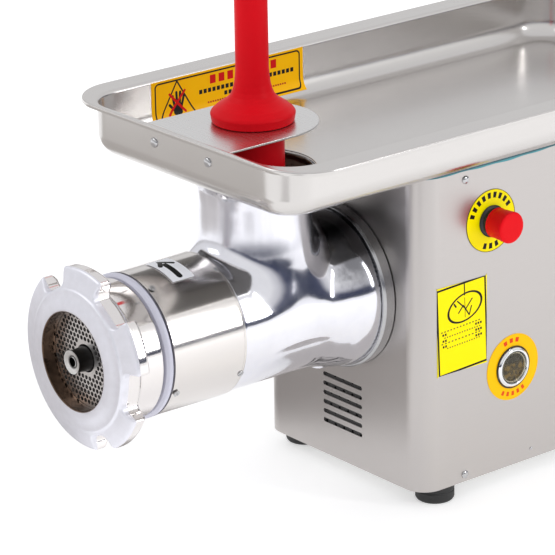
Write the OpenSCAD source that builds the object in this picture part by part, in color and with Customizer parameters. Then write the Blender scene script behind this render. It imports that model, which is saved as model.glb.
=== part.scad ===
// Electric meat grinder, size 32 class, as an assembly of separate named pieces.
// Millimetres. +Z up, the work head faces -Y, +X is the side with the stop button.
// Origin: middle of the overall box in X and Y, on the resting surface in Z.
// Inside the modules, place() moves to a local origin on the bottom edge of the
// housing's front face, so depths count back from that face and heights from that edge.

/* [Housing] */
// Housing width
body_w = 230; // [200:1:260]
// Housing height without feet
body_h = 313.5; // [280:0.5:340]
// Housing depth, front face to rear panel
body_l = 430; // [380:1:480]
// Radius of the two front upright bends
body_r = 22; // [10:1:40]
// Sheet thickness
sheet = 1.5; // [1:0.1:3]
// Foot height
foot_h = 16.5; // [10:0.5:30]
// Foot radius
foot_r = 18.5; // [12:0.5:25]
// Foot centre, sideways
foot_x = 95; // [70:1:105]
// Foot centre behind the front face
foot_y = 33.5; // [25:0.5:60]

/* [Tray] */
// Half width between the outer wall faces
tray_hw = 146; // [120:1:170]
// Front wall, distance ahead of the housing
tray_front = 183.3; // [150:0.1:210]
// Rear wall, distance behind the housing front
tray_back = 396; // [300:1:430]
// Height of the pan with its rim
tray_h = 50.6; // [35:0.1:70]
// Wall corner radius
tray_rc = 37; // [25:1:60]
// Bottom edge radius
tray_rb = 20; // [5:1:24]
// Side rim width
rim_side = 24.8; // [8:0.1:30]
// Front rim width
rim_front = 5; // [3:0.5:30]
// Rim corner radius
rim_rc = 48; // [30:1:70]

/* [Guard and pusher] */
// Half width of the guard plate, also its round end
guard_r = 59.3; // [50:0.1:65]
// Guard plate hole radius
guard_hole = 28.6; // [20:0.1:35]
// Guard plate top, below the rim
guard_drop = 5.6; // [3:0.1:15]
// Pusher shaft radius below the flange
push_r = 28; // [20:0.1:35]
// Pusher flange radius
push_flange = 38.6; // [30:0.1:50]
// Pusher stem radius
push_stem = 15.1; // [10:0.1:20]
// Pusher overall length
push_len = 318; // [200:1:400]

/* [Head] */
// Barrel axis above the housing's lower edge
axis_h = 180.2; // [150:0.1:220]
// Ring nut face ahead of the housing
head_reach = 308; // [250:1:340]
// Barrel bore radius
bore_r = 48.5; // [40:0.1:60]
// Barrel outer radius
barrel_r = 65; // [55:0.5:75]
// Sleeve outer radius
sleeve_r = 67.4; // [60:0.1:80]
// Throat centre ahead of the housing
throat_y = 99.4; // [80:0.1:130]
// Neck outer radius
neck_r = 51.2; // [40:0.1:60]
// Neck bore radius
throat_r = 44; // [35:0.5:50]
// Rear flange radius of the head
flange_r = 75; // [65:0.5:85]
// Mounting ring radius
clamp_r = 79; // [70:0.5:90]

/* [Ring nut] */
// Lobe radius
lobe_r = 84; // [75:0.5:95]
// Opening radius
open_r = 45; // [35:0.5:50]
// Skirt radius
skirt_r = 64.4; // [58:0.1:70]
// Depth of the plate below the ring face
plate_recess = 14.5; // [8:0.5:20]

/* [Plate and worm] */
// Plate radius
plate_r = 49.5; // [40:0.1:60]
// Plate thickness
plate_t = 10; // [6:0.5:16]
// Plate hole radius
hole_r = 2.25; // [1.5:0.05:6]
// Plate hole pitch
hole_pitch = 6.4; // [5:0.1:14]
// Stud radius
stud_r = 12.9; // [8:0.1:16]
// Worm flight radius
worm_r = 47.7; // [40:0.1:58]
// Worm flight pitch
worm_pitch = 52; // [30:1:80]

/* [Drive] */
// Stage 1 gear module
mod_1 = 2; // [1.5:0.5:3]
// Motor pinion teeth
z_a = 18; // [12:1:30]
// Large first-stage gear teeth
z_b = 60; // [40:1:80]
// Stage 2 gear module
mod_2 = 2.5; // [2:0.5:4]
// Second-stage pinion teeth
z_c = 20; // [14:1:30]
// Output gear teeth
z_d = 50; // [40:1:70]
// Motor outer radius
motor_r = 86; // [70:1:95]

/* [Controls] */
// Stop button centre behind the front face
stop_y = 84.5; // [50:0.5:150]
// Stop button centre height
stop_z = 250.8; // [200:0.5:280]
// Sight glass centre behind the front face
sight_y = 113; // [80:0.5:150]
// Sight glass centre height
sight_z = 99.6; // [70:0.5:140]
// Tooth thickness at the pitch circle, share of the tooth spacing
tooth_share = 0.46; // [0.4:0.01:0.5]

/* [Hidden] */
front_y = -66.5;
tray_z = 313.8;
rim_z = tray_z + tray_h;
guard_z = rim_z - guard_drop;
guard_t = 2;
hx = body_w / 2;
mid_z = axis_h - mod_2 * (z_c + z_d) / 2;
mot_z = mid_z + mod_1 * (z_a + z_b) / 2;
ring_y = -head_reach;
plate_y = ring_y + plate_recess;
eps = 0.01;
$fn = 96;

// ---------- helpers ----------
module place() { translate([0, front_y, foot_h]) children(); }
module ycyl(r, y0, y1, x = 0, z = 0) {
  translate([x, y1, z]) rotate([90, 0, 0]) cylinder(r = r, h = y1 - y0);
}
module xcyl(r, x0, x1, y, z) { translate([x0, y, z]) rotate([0, 90, 0]) cylinder(r = r, h = x1 - x0); }
module zcyl(r, z0, z1, x = 0, y = 0) { translate([x, y, z0]) cylinder(r = r, h = z1 - z0); }
module box(x0, x1, y0, y1, z0, z1) { translate([x0, y0, z0]) cube([x1 - x0, y1 - y0, z1 - z0]); }
// revolve a profile given as [radius, y] about an axis along Y
module yrev(pts, x = 0, z = 0) {
  translate([x, 0, z]) rotate([-90, 0, 0]) rotate_extrude() polygon(pts);
}
module rrect(x0, x1, y0, y1, r) {
  union() {
    translate([x0 + r, y0]) square([x1 - x0 - 2 * r, y1 - y0]);
    translate([x0, y0 + r]) square([x1 - x0, y1 - y0 - 2 * r]);
    for (x = [x0 + r, x1 - r], y = [y0 + r, y1 - r]) translate([x, y]) circle(r);
  }
}
// housing footprint: two rounded front corners, square rear corners
module footprint(inset) {
  r = body_r - inset;
  union() {
    translate([-hx + inset, body_r]) square([body_w - 2 * inset, body_l - body_r]);
    translate([-hx + body_r, inset]) square([body_w - 2 * body_r, body_l - inset]);
    for (s = [-1, 1]) translate([s * (hx - body_r), body_r]) circle(r);
  }
}
// dome-headed screw along X, head outside at x = side * at
module side_screw(side, at, y, z, r, len) {
  translate([side * at, y, z]) rotate([0, side * 90, 0]) {
    intersection() {
      translate([0, 0, r * 0.55 - r * 1.183]) sphere(r * 1.183);
      cylinder(r = r, h = r);
    }
    translate([0, 0, -len]) cylinder(r = r * 0.45, h = len + 0.1);
  }
}
module front_screw(x, y, z, r, len) {
  translate([x, y, z]) rotate([90, 0, 0]) {
    intersection() {
      translate([0, 0, r * 0.55 - r * 1.183]) sphere(r * 1.183);
      cylinder(r = r, h = r);
    }
    translate([0, 0, -len]) cylinder(r = r * 0.45, h = len + 0.1);
  }
}
module rear_screw(x, y, z, r, len) {
  mirror([0, 1, 0]) front_screw(x, -y, z, r, len);
}
side_y = [53.3, 376];
side_zz = [7.3, 297];

// ---------- housing ----------
grille_x = 2.3; grille_z = 58.2; slot_n = 6; slot_w = 52; slot_t = 4.2; slot_step = 9.4;
module grille_slots(y0, y1) {
  for (i = [0:slot_n - 1]) {
    z = grille_z + (i - (slot_n - 1) / 2) * slot_step;
    box(grille_x - slot_w / 2, grille_x + slot_w / 2, y0, y1, z - slot_t / 2, z + slot_t / 2);
    for (s = [-1, 1]) ycyl(slot_t / 2, y0, y1, grille_x + s * slot_w / 2, z);
  }
}
module housing_shell() {
  color([0.78, 0.77, 0.75]) place() difference() {
    union() {
      difference() {
        linear_extrude(body_h) footprint(0);
        translate([0, 0, -1]) linear_extrude(body_h + 2) intersection() {
          footprint(sheet);
          translate([-hx, -1]) square([body_w, body_l + 5]);
        }
        box(-hx + sheet, hx - sheet, body_l - 20, body_l + 1, -1, body_h + 1);
      }
      for (s = [-1, 1])
        translate([s > 0 ? hx - 16 : -hx + sheet - eps, body_l - sheet, 0])
          cube([16 - sheet + eps, sheet, body_h]);
    }
    ycyl(56, -5, 10, 0, axis_h);
    for (a = [45:90:315]) ycyl(4.2, -5, 8, 67 * cos(a), axis_h + 67 * sin(a));
    grille_slots(-5, 5);
    xcyl(11.2, hx - 5, hx + 5, stop_y, stop_z);
    xcyl(17.3, hx - 5, hx + 5, sight_y, sight_z);
    xcyl(11.2, -hx - 5, -hx + 5, stop_y, stop_z);
    for (s = [-1, 1], y = side_y, z = side_zz) xcyl(2.2, s * hx - 4, s * hx + 4, y, z);
    for (s = [-1, 1], z = [30, 156, 285]) ycyl(2.2, body_l - 5, body_l + 5, s * (hx - 9), z);
  }
}
module top_deck() {
  color([0.72, 0.72, 0.70]) place() difference() {
    union() {
      translate([0, 0, body_h - 2]) linear_extrude(sheet) footprint(sheet + 0.2);
      for (s = [-1, 1]) box(s > 0 ? hx - 3.4 : -hx + 1.7, s > 0 ? hx - 1.7 : -hx + 3.4,
        30, body_l - 30, body_h - 28, body_h - 1);
    }
    for (s = [-1, 1], y = side_y) xcyl(1.8, s * hx - 6, s * hx + 4, y, side_zz[1]);
    for (s = [-1, 1], y = [60, 340]) zcyl(3.4, body_h - 6, body_h + 3, s * 80, y);
    box(-hx, hx, body_l - sheet - 0.2, body_l + 5, body_h - 40, body_h + 5);
  }
}
module base_plate() {
  color([0.72, 0.72, 0.70]) place() difference() {
    union() {
      linear_extrude(2) footprint(sheet + 0.2);
      for (s = [-1, 1]) box(s > 0 ? hx - 3.4 : -hx + 1.7, s > 0 ? hx - 1.7 : -hx + 3.4,
        30, body_l - 30, 0, 20);
    }
    for (s = [-1, 1], y = side_y) xcyl(1.8, s * hx - 6, s * hx + 4, y, side_zz[0]);
    for (s = [-1, 1], y = [foot_y, body_l - foot_y]) zcyl(4.2, -2, 5, s * foot_x, y);
    for (i = [-4:4], y = [250, 330]) box(i * 18 - 3, i * 18 + 3, y, y + 50, -2, 4);
    box(-hx, hx, body_l - sheet - 0.2, body_l + 5, -5, 40);
  }
}
module rear_panel() {
  color([0.76, 0.75, 0.73]) place() difference() {
    box(-hx, hx, body_l, body_l + sheet, 0, body_h);
    for (i = [0:7]) {
      z = 120 + i * 16;
      box(-60, 60, body_l - 2, body_l + 5, z - 3, z + 3);
      for (s = [-1, 1]) ycyl(3, body_l - 2, body_l + 5, s * 60, z);
    }
    ycyl(8.2, body_l - 5, body_l + 5, -70, 40);
    for (s = [-1, 1], z = [30, 156, 285]) ycyl(2.2, body_l - 5, body_l + 5, s * (hx - 9), z);
  }
}
module vent_insert() {
  color([0.05, 0.05, 0.05]) place() difference() {
    box(grille_x - 34, grille_x + 34, sheet + 0.1, 3.6, grille_z - 34, grille_z + 34);
    for (i = [-4:4], j = [-4:4]) if ((i + j) % 2 == 0)
      ycyl(1.6, 0, 6, grille_x + i * 6.2, grille_z + j * 6.2);
  }
}
module each_foot() {
  for (s = [-1, 1], y = [foot_y, body_l - foot_y]) translate([s * foot_x, y, 0]) children();
}
module feet() {
  color([0.06, 0.06, 0.06]) place() each_foot() rotate_extrude() difference() {
    union() {
      polygon([[0, -foot_h], [foot_r - 3, -foot_h], [foot_r - 0.9, -foot_h + 0.9],
        [foot_r, -foot_h + 3], [foot_r, 0], [0, 0]]);
    }
    translate([-1, -foot_h - 1]) square([8, 7]);
    translate([-1, -foot_h - 1]) square([4.2, foot_h + 4]);
  }
}
module foot_bolts() {
  color([0.6, 0.6, 0.62]) place() each_foot() {
    zcyl(6.4, -foot_h + 2.4, -foot_h + 5.9);
    zcyl(3, -foot_h + 2.5, 12);
    translate([0, 0, 2.2]) cylinder(r = 5.8, h = 5, $fn = 6);
  }
}
module housing_screws() {
  color([0.7, 0.7, 0.72]) place() for (s = [-1, 1]) {
    for (y = side_y, z = side_zz) side_screw(s, hx, y, z, 3.9, 6);
    side_screw(s, hx + 0.02, 137.7, 10.2, 1.7, 0);
  }
}
module rear_screws() {
  color([0.7, 0.7, 0.72]) place() for (s = [-1, 1], z = [30, 156, 285])
    rear_screw(s * (hx - 9), body_l + sheet, z, 3.4, 8);
}

// ---------- tray, guard and pusher ----------
// wall section: r counts out from the corner centre line, floor at z0
function arc_pts(c, r, a0, a1, n) =
  [for (i = [0:n]) c + r * [cos(a0 + (a1 - a0) * i / n), sin(a0 + (a1 - a0) * i / n)]];
module wall_section(zt) {
  ri = tray_rc - tray_rb; c = [ri, tray_z + tray_rb];
  polygon(concat([[0, tray_z]], arc_pts(c, tray_rb, -90, 0, 10), [[tray_rc, zt], [tray_rc - sheet, zt]],
    arc_pts(c, tray_rb - sheet, 0, -90, 10), [[0, tray_z + sheet]]));
}
module pan(zt) {
  ix = tray_hw - tray_rc; y0 = -tray_front + tray_rc; y1 = tray_back - tray_rc;
  union() {
    box(-ix, ix, y0, y1, tray_z, tray_z + sheet);
    for (s = [0, 1]) translate([0, s * (y0 + y1), 0]) rotate([0, 0, s * 180]) {
      translate([ix, y1, 0]) rotate([90, 0, 0]) linear_extrude(y1 - y0) wall_section(zt);
      translate([-ix, y1, 0]) rotate([90, 0, 90]) linear_extrude(2 * ix) wall_section(zt);
      translate([ix, y1, 0]) rotate_extrude(angle = 90) wall_section(zt);
      translate([-ix, y1, 0]) rotate([0, 0, 90]) rotate_extrude(angle = 90) wall_section(zt);
    }
  }
}
module rim_outline(grow) {
  rrect(-tray_hw - rim_side - grow, tray_hw + rim_side + grow, -tray_front - rim_front - grow,
    tray_back + rim_side + grow, rim_rc);
}
module tray_inner(inset) {
  rrect(-tray_hw + inset, tray_hw - inset, -tray_front + inset, tray_back - inset, tray_rc - inset);
}
module tray() {
  color([0.80, 0.79, 0.77]) place() difference() {
    union() {
      pan(rim_z - sheet);
      translate([0, 0, rim_z - sheet]) linear_extrude(sheet) difference() {
        rim_outline(0);
        tray_inner(sheet);
      }
      translate([0, 0, rim_z - 4.5]) linear_extrude(4.5 - sheet) difference() {
        rim_outline(0);
        rrect(-tray_hw - rim_side + 1.4, tray_hw + rim_side - 1.4, -tray_front - rim_front + 1.4,
          tray_back + rim_side - 1.4, rim_rc - 1.4);
      }
    }
    zcyl(56.5, tray_z - 5, tray_z + 10, 0, -throat_y);
    for (s = [-1, 1]) ycyl(2.4, -tray_front - 3, -tray_front + 4, s * 38.5 + 2, guard_z - 11.4);
    for (s = [-1, 1], y = [60, 340]) zcyl(3.2, tray_z - 5, tray_z + 5, s * 80, y);
  }
}
module tray_fixings() {
  color([0.7, 0.7, 0.72]) place() for (s = [-1, 1], y = [60, 340]) translate([s * 80, y, 0]) {
    zcyl(3, tray_z - 20, tray_z + 3);
    zcyl(6.5, tray_z + sheet, tray_z + 4.2);
    translate([0, 0, tray_z - 7.5]) cylinder(r = 6, h = 5, $fn = 6);
  }
}
guard_in = 0.4;
module guard_plate() {
  color([0.82, 0.82, 0.82]) place() difference() {
    union() {
      translate([0, 0, guard_z - guard_t]) linear_extrude(guard_t) union() {
        translate([-guard_r, -tray_front + sheet + guard_in])
          square([2 * guard_r, tray_front - sheet - guard_in - throat_y]);
        translate([0, -throat_y]) circle(guard_r);
      }
      box(-guard_r, guard_r, -tray_front + sheet + guard_in,
        -tray_front + sheet + guard_in + guard_t, guard_z - 24, guard_z - eps);
    }
    zcyl(guard_hole, guard_z - 5, guard_z + 5, 0, -throat_y);
    for (s = [-1, 1])
      ycyl(2.4, -tray_front - 3, -tray_front + 8, s * 38.5 + 2, guard_z - 11.4);
  }
}
module guard_screws() {
  color([0.75, 0.75, 0.77]) place() for (s = [-1, 1])
    front_screw(s * 38.5 + 2, -tray_front, guard_z - 11.4, 4.6, 12);
}
module guard_nuts() {
  color([0.7, 0.7, 0.72]) place() for (s = [-1, 1])
    translate([s * 38.5 + 2, -tray_front + 8.6, guard_z - 11.4]) rotate([90, 0, 0]) difference() {
      cylinder(r = 4.6, h = 4, $fn = 6);
      translate([0, 0, -1]) cylinder(r = 2.15, h = 6);
    }
}
push_z = guard_z + 0.4;
module pusher() {
  zb = push_z + 8; zt = push_z - 118 + push_len;
  color([0.80, 0.04, 0.06]) place() translate([0, -throat_y, 0]) rotate_extrude() union() {
    polygon([[0, push_z - 118], [push_r - 3, push_z - 118], [push_r, push_z - 115],
      [push_r, push_z + 0.1], [push_flange - 1.4, push_z], [push_flange, push_z + 1.6],
      [push_flange, push_z + 7.6], [push_flange - 1.2, zb + 1.8], [32.5, zb + 6.4],
      [27.5, zb + 9.6], [23, zb + 13], [20, zb + 16.6], [18, zb + 21], [16.5, zb + 27],
      [15.6, zb + 34], [push_stem, zb + 42], [push_stem - 0.2, zt - 46], [push_stem + 1, zt - 38],
      [push_stem + 4.6, zt - 30], [push_stem + 6, zt - 22], [push_stem + 6, zt - 14],
      [push_stem + 4, zt - 6], [push_stem - 2, zt - 1.2], [push_stem - 8, zt], [0, zt]]);
  }
}

// ---------- head ----------
sleeve_y0 = -249; sleeve_y1 = -164.1;
module head_casting() {
  color([0.82, 0.83, 0.86]) place() difference() {
    union() {
      // spigot with the thread for the ring nut
      ycyl(57, -291.5, -240, 0, axis_h);
      // barrel and flared rear end
      ycyl(barrel_r, -243.6, -60, 0, axis_h);
      yrev([[0, -sleeve_y1 * -1 + 0.3], [barrel_r, sleeve_y1 + 0.3], [barrel_r + 1, sleeve_y1 + 3],
        [barrel_r + 1, -78], [barrel_r + 1.8, -58], [barrel_r + 4, -42], [flange_r - 3, -30],
        [flange_r - 0.6, -22], [flange_r, -18], [flange_r, -13], [0, -13]], 0, axis_h);
      // neck with its foot and its top flange
      translate([0, -throat_y, 0]) rotate_extrude() polygon([[0, axis_h], [66, axis_h],
        [66, axis_h + 22], [64.6, axis_h + 38], [60.8, axis_h + 54], [56.4, axis_h + 66],
        [52.8, axis_h + 78], [neck_r, axis_h + 90], [neck_r, tray_z - 26], [neck_r + 3, tray_z - 18],
        [neck_r + 10, tray_z - 11], [neck_r + 14, tray_z - 7], [neck_r + 14, tray_z - 0.4],
        [0, tray_z - 0.4]]);
      zcyl(8, axis_h - 77, axis_h - 50, 0, -27);
    }
    // worm bore, plate seat and throat
    ycyl(bore_r, -300, -46, 0, axis_h);
    ycyl(plate_r + 0.2, -300, plate_y + plate_t + 0.1, 0, axis_h);
    translate([0, -throat_y, 0]) rotate_extrude() polygon([[0, axis_h], [throat_r, axis_h],
      [throat_r, tray_z - 26], [neck_r + 2, tray_z - 6], [neck_r + 2, tray_z + 5], [0, tray_z + 5]]);
    ycyl(24, -50, -8, 0, axis_h);
    // key pocket
    ycyl(2.6, -300, plate_y + plate_t - 1, 0, axis_h - plate_r);
    for (a = [45:90:315]) ycyl(4.2, -24, 0, 67 * cos(a), axis_h + 67 * sin(a));
  }
}
module head_bush() {
  color([0.72, 0.55, 0.28]) place() translate([0, 0, axis_h]) difference() {
    ycyl(23.95, -45.8, -13.2);
    ycyl(17.56, -60, 0);
  }
}
module sleeve() {
  color([0.74, 0.71, 0.69]) place() difference() {
    ycyl(sleeve_r, sleeve_y0 + 5.6, sleeve_y1, 0, axis_h);
    ycyl(barrel_r + 0.05, sleeve_y0 - 5, sleeve_y1 + 5, 0, axis_h);
    sleeve_holes(2.1, 60);
  }
}
module sleeve_holes(r, r0) {
  for (y = [-240.2, -168], a = [64, 154, 244, 334])
    translate([0, y, axis_h]) rotate([0, 90 - a, 0]) cylinder(r = r, h = r0 + 15);
}
module sleeve_screws() {
  color([0.7, 0.7, 0.72]) place() for (y = [-240.2, -168], a = [64, 154, 244, 334])
    translate([0, y, axis_h]) rotate([0, 90 - a, 0]) difference() {
      union() {
        translate([0, 0, barrel_r + 0.2]) cylinder(r = 2, h = 2.6);
        translate([0, 0, sleeve_r + 0.02]) cylinder(r = 3.1, h = 0.8);
      }
      translate([-4, -0.4, sleeve_r + 0.1]) cube([8, 0.8, 2]);
    }
}
module collar_ring() {
  color([0.85, 0.85, 0.90]) place() yrev([[57.3, -255], [63.8, -255], [66.6, -252.4],
    [67, -250], [67, -244], [57.3, -244]], 0, axis_h);
}
module mounting_ring() {
  color([0.42, 0.42, 0.44]) place() difference() {
    yrev([[57.2, -12.8], [clamp_r - 1.2, -12.8], [clamp_r, -11.6], [clamp_r, -0.2], [57.2, -0.2]],
      0, axis_h);
    for (a = [45:90:315]) ycyl(4.2, -24, 3, 67 * cos(a), axis_h + 67 * sin(a));
  }
}
module head_bolts() {
  color([0.55, 0.55, 0.57]) place() for (a = [45:90:315])
    translate([67 * cos(a), 0, axis_h + 67 * sin(a)]) {
      ycyl(4, -23, 16);
      translate([0, 20, 0]) rotate([90, 0, 0]) cylinder(r = 7, h = 7, $fn = 6);
    }
}
// a notch with a round-cornered floor between two lobes, centred at angle a
module notch(a, floor_r, half_w) {
  rotate([0, 0, a]) union() {
    for (s = [-1, 1]) translate([floor_r + 7, s * (half_w - 7)]) circle(7);
    translate([floor_r, -half_w + 7]) square([14, 2 * half_w - 14]);
    polygon([[floor_r + 7, -half_w], [floor_r + 7, half_w], [lobe_r + 6, half_w + 5],
      [lobe_r + 6, -half_w - 5]]);
  }
}
notch_at = [[119.5, 66.2, 17], [54, 65.2, 19.5], [-10.5, 65.2, 20.5], [-70, 69, 12]];
module ring_nut() {
  color([0.84, 0.84, 0.87]) place() translate([0, 0, axis_h]) difference() {
    union() {
      intersection() {
        yrev([[0, ring_y], [open_r + 2, ring_y], [skirt_r - 2, ring_y + 4.6],
          [lobe_r - 2, ring_y + 10.2], [lobe_r, ring_y + 12], [lobe_r, ring_y + 22],
          [lobe_r - 3, ring_y + 25.5], [0, ring_y + 27]]);
        translate([0, ring_y + 60, 0]) rotate([90, 0, 0]) linear_extrude(80) difference() {
          circle(lobe_r + 1);
          for (n = notch_at) notch(n[0], n[1], n[2]);
        }
      }
      ycyl(skirt_r, ring_y + 5, -255.6);
    }
    ycyl(open_r, ring_y - 5, ring_y + 30);
    ycyl(plate_r + 0.6, plate_y - 0.1, ring_y + 40);
    ycyl(57.06, -291.9, -250);
  }
}
module hex_holes() {
  n = 8;
  for (i = [-n:n], j = [-n:n]) {
    x = hole_pitch * (i + j / 2); z = hole_pitch * j * 0.8660254;
    d = sqrt(x * x + z * z);
    if (d > stud_r + 4.6 && d < plate_r - 5.2) ycyl(hole_r, plate_y - 2, plate_y + plate_t + 2, x, z);
  }
}
module cutting_plate() {
  color([0.55, 0.55, 0.56]) place() translate([0, 0, axis_h]) difference() {
    ycyl(plate_r, plate_y, plate_y + plate_t);
    ycyl(stud_r + 0.06, plate_y - 2, plate_y + plate_t + 2);
    hex_holes();
    ycyl(2.6, plate_y - 2, plate_y + plate_t - 1, 0, -plate_r);
  }
}
module plate_key() {
  color([0.6, 0.6, 0.6]) place() ycyl(2.5, plate_y + 1.9, plate_y + plate_t - 1.2, 0, axis_h - plate_r);
}
knife_y = plate_y + plate_t + 0.15;
module knife() {
  color([0.5, 0.5, 0.52]) place() translate([0, 0, axis_h]) difference() {
    union() {
      ycyl(20, knife_y + 0.4, knife_y + 11);
      for (a = [0:90:270]) rotate([0, a, 0]) translate([0, knife_y, 0]) rotate([-90, 0, 0])
        linear_extrude(9) polygon([[8, -9], [44, -8], [45, -4], [45, 4], [38, 7], [8, 9]]);
    }
    box(-12.1, 12.1, knife_y - 1, knife_y + 12, -12.1, 12.1);
  }
}
worm_y0 = knife_y + 11.3; worm_y1 = -50;
module worm() {
  len = worm_y1 - worm_y0; turns = (len - 4) / worm_pitch;
  color([0.66, 0.66, 0.67]) place() translate([0, 0, axis_h]) difference() {
    union() {
      translate([0, worm_y0 + 2, 0]) rotate([-90, 0, 0]) linear_extrude(len - 4,
        twist = 360 * turns, slices = 60) union() {
          circle(20, $fn = 40);
          polygon(concat([[0, 0]], [for (i = [0:8]) worm_r * [cos(-20 + i * 5), sin(-20 + i * 5)]]));
        }
      ycyl(22, worm_y0, worm_y0 + 10);
      ycyl(26, worm_y1 - 14, worm_y1);
      box(-11.9, 11.9, knife_y + 0.2, worm_y0 + 4, -11.9, 11.9);
    }
    box(-13.1, 13.1, -86, -40, -13.1, 13.1);
    ycyl(6.2, knife_y - 5, knife_y + 50);
  }
}
module worm_stud() {
  color([0.5, 0.5, 0.5]) place() translate([0, 0, axis_h]) difference() {
    union() {
      yrev([[0, ring_y - 1], [stud_r - 1.6, ring_y - 1], [stud_r, ring_y + 0.6],
        [stud_r, knife_y], [0, knife_y]]);
      ycyl(6.1, knife_y - 1, knife_y + 46);
    }
    ycyl(4.4, ring_y - 5, ring_y + 9);
  }
}
module thrust_washer() {
  color([0.78, 0.72, 0.6]) place() translate([0, 0, axis_h]) difference() {
    ycyl(30, -49.7, -46.2);
    ycyl(18.4, -60, -40);
  }
}

// ---------- gearbox ----------
gb_x = 78; gb_z0 = 22; gb_z1 = 262; gb_y0 = 4; gb_y1 = 124; gb_w = 7;
module gearbox_case() {
  color([0.36, 0.38, 0.40]) place() difference() {
    union() {
      translate([0, gb_y1, 0]) rotate([90, 0, 0]) linear_extrude(gb_y1 - gb_y0)
        rrect(-gb_x, gb_x, gb_z0, gb_z1, 18);
      ycyl(55.5, -3, gb_y0 + 2, 0, axis_h);
      xcyl(10.5, gb_x - 8, hx - 3.4, sight_y, sight_z);
      for (s = [-1, 1]) box(s > 0 ? gb_x - 26 : -gb_x - 10, s > 0 ? gb_x + 10 : -gb_x + 26,
        gb_y0 + 6, gb_y1 - 6, 2.2, gb_z0 + 12);
    }
    difference() {
      translate([0, gb_y1 + 1, 0]) rotate([90, 0, 0]) linear_extrude(gb_y1 - gb_y0 - 6)
        rrect(-gb_x + gb_w, gb_x - gb_w, gb_z0 + gb_w, gb_z1 - gb_w, 11);
      // front bearing bosses and the web that carries the rear output bearing
      ycyl(48, gb_y0, 29.6, 0, axis_h);
      ycyl(30, gb_y0, 26, 0, mid_z);
      difference() {
        box(-gb_x, gb_x, 68.4, 82, axis_h - 50, gb_z1);
        ycyl(mod_1 * z_b / 2 + 6, 60, 90, 0, mid_z);
      }
    }
    ycyl(40.05, 9.8, 40, 0, axis_h);
    ycyl(27, 3, 12, 0, axis_h);
    ycyl(30.05, -5, 4.2, 0, axis_h);
    ycyl(36.05, 67, 80, 0, axis_h);
    ycyl(20, 79, 84, 0, axis_h);
    ycyl(23.55, 11.8, 30, 0, mid_z);
    xcyl(6, gb_x - 20, hx + 2, sight_y, sight_z);
    for (a = [45:90:315]) ycyl(4.05, -5, 24, 67 * cos(a), axis_h + 67 * sin(a));
    for (a = [45:90:315]) ycyl(9, 11, 24, 67 * cos(a), axis_h + 67 * sin(a));
    cover_holes(3.05, gb_y1 - 18, gb_y1 + 2);
  }
}
module cover_holes(r, y0, y1) {
  for (s = [-1, 1], z = [gb_z0 + 12, sight_z - 17.6, gb_z1 - 12]) ycyl(r, y0, y1, s * (gb_x - 3.6), z);
}
module gearbox_cover() {
  color([0.36, 0.38, 0.40]) place() difference() {
    union() {
      translate([0, gb_y1 + 8, 0]) rotate([90, 0, 0]) linear_extrude(8 - 0.1)
        rrect(-gb_x, gb_x, gb_z0, gb_z1, 18);
    }
    ycyl(23.55, gb_y1 - 2, gb_y1 + 6.4, 0, mid_z);
    ycyl(24, gb_y1 - 2, gb_y1 + 9, 0, mot_z);
    cover_holes(3.4, gb_y1 - 2, gb_y1 + 12);
  }
}
module cover_screws() {
  color([0.6, 0.6, 0.62]) place() {
    cover_holes(2.9, gb_y1 - 14, gb_y1 + 9);
    cover_holes(3.3, gb_y1 + 8.1, gb_y1 + 12);
  }
}
module ring(ro, ri, y0, y1) {
  difference() { ycyl(ro, y0, y1); ycyl(ri, y0 - 1, y1 + 1); }
}
module oil_seal() {
  color([0.1, 0.1, 0.1]) place() translate([0, 0, axis_h]) ring(30, 17.54, -2.8, 4);
}
// ball bearing: two races and balls
module bearing(ro, ri, y0, y1) {
  rm = (ro + ri) / 2; w = (ro - ri) / 2; ym = (y0 + y1) / 2; n = floor(3.14159 * rm / (w * 0.62));
  ring(ro, rm + w * 0.42, y0, y1);
  ring(rm - w * 0.42, ri, y0, y1);
  for (i = [0:n - 1]) rotate([0, i * 360 / n, 0]) translate([rm, ym, 0]) sphere(w * 0.4);
}
module output_bearings() {
  color([0.62, 0.63, 0.65]) place() translate([0, 0, axis_h]) {
    bearing(40, 17.53, 10, 28);
    bearing(36, 17.53, 68, 80);
  }
}
module gear(m, z, y0, y1, bore) {
  rp = m * z / 2; ra = rp + 0.85 * m; rf = rp - 1.2 * m; t = 360 / z;
  difference() {
    translate([0, y1, 0]) rotate([90, 0, 0]) linear_extrude(y1 - y0) polygon([for (i = [0:z - 1])
      for (k = [[rf, -0.33], [rp, -tooth_share / 2], [ra, -0.13], [ra, 0.13], [rp, tooth_share / 2],
        [rf, 0.33]]) k[0] * [cos((i + k[1]) * t), sin((i + k[1]) * t)]]);
    ycyl(bore, y0 - 1, y1 + 1);
  }
}
module output_shaft() {
  color([0.6, 0.6, 0.62]) place() translate([0, 0, axis_h]) union() {
    ycyl(17.5, -49.6, 84);
    box(-12.95, 12.95, -84, -49, -12.95, 12.95);
    ycyl(21, 29, 33.4);
  }
}
module output_gear() {
  color([0.52, 0.53, 0.55]) place() translate([0, 0, axis_h]) difference() {
    gear(mod_2, z_d, 34, 62, 17.52);
    for (s = [0, 1]) translate([0, s > 0 ? 54 : 33, 0]) rotate([-90, 0, 0]) linear_extrude(9)
      difference() { circle(50); circle(28); }
  }
}
module mid_shaft() {
  color([0.6, 0.6, 0.62]) place() ycyl(11, 12.6, gb_y1 + 6, 0, mid_z);
}
module mid_pinion() {
  color([0.52, 0.53, 0.55]) place() translate([0, 0, mid_z])
    gear(mod_2, z_c, 32, 64, 11.02);
}
module mid_gear() {
  color([0.52, 0.53, 0.55]) place() translate([0, 0, mid_z]) gear(mod_1, z_b, 90, 112, 11.02);
}
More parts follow.
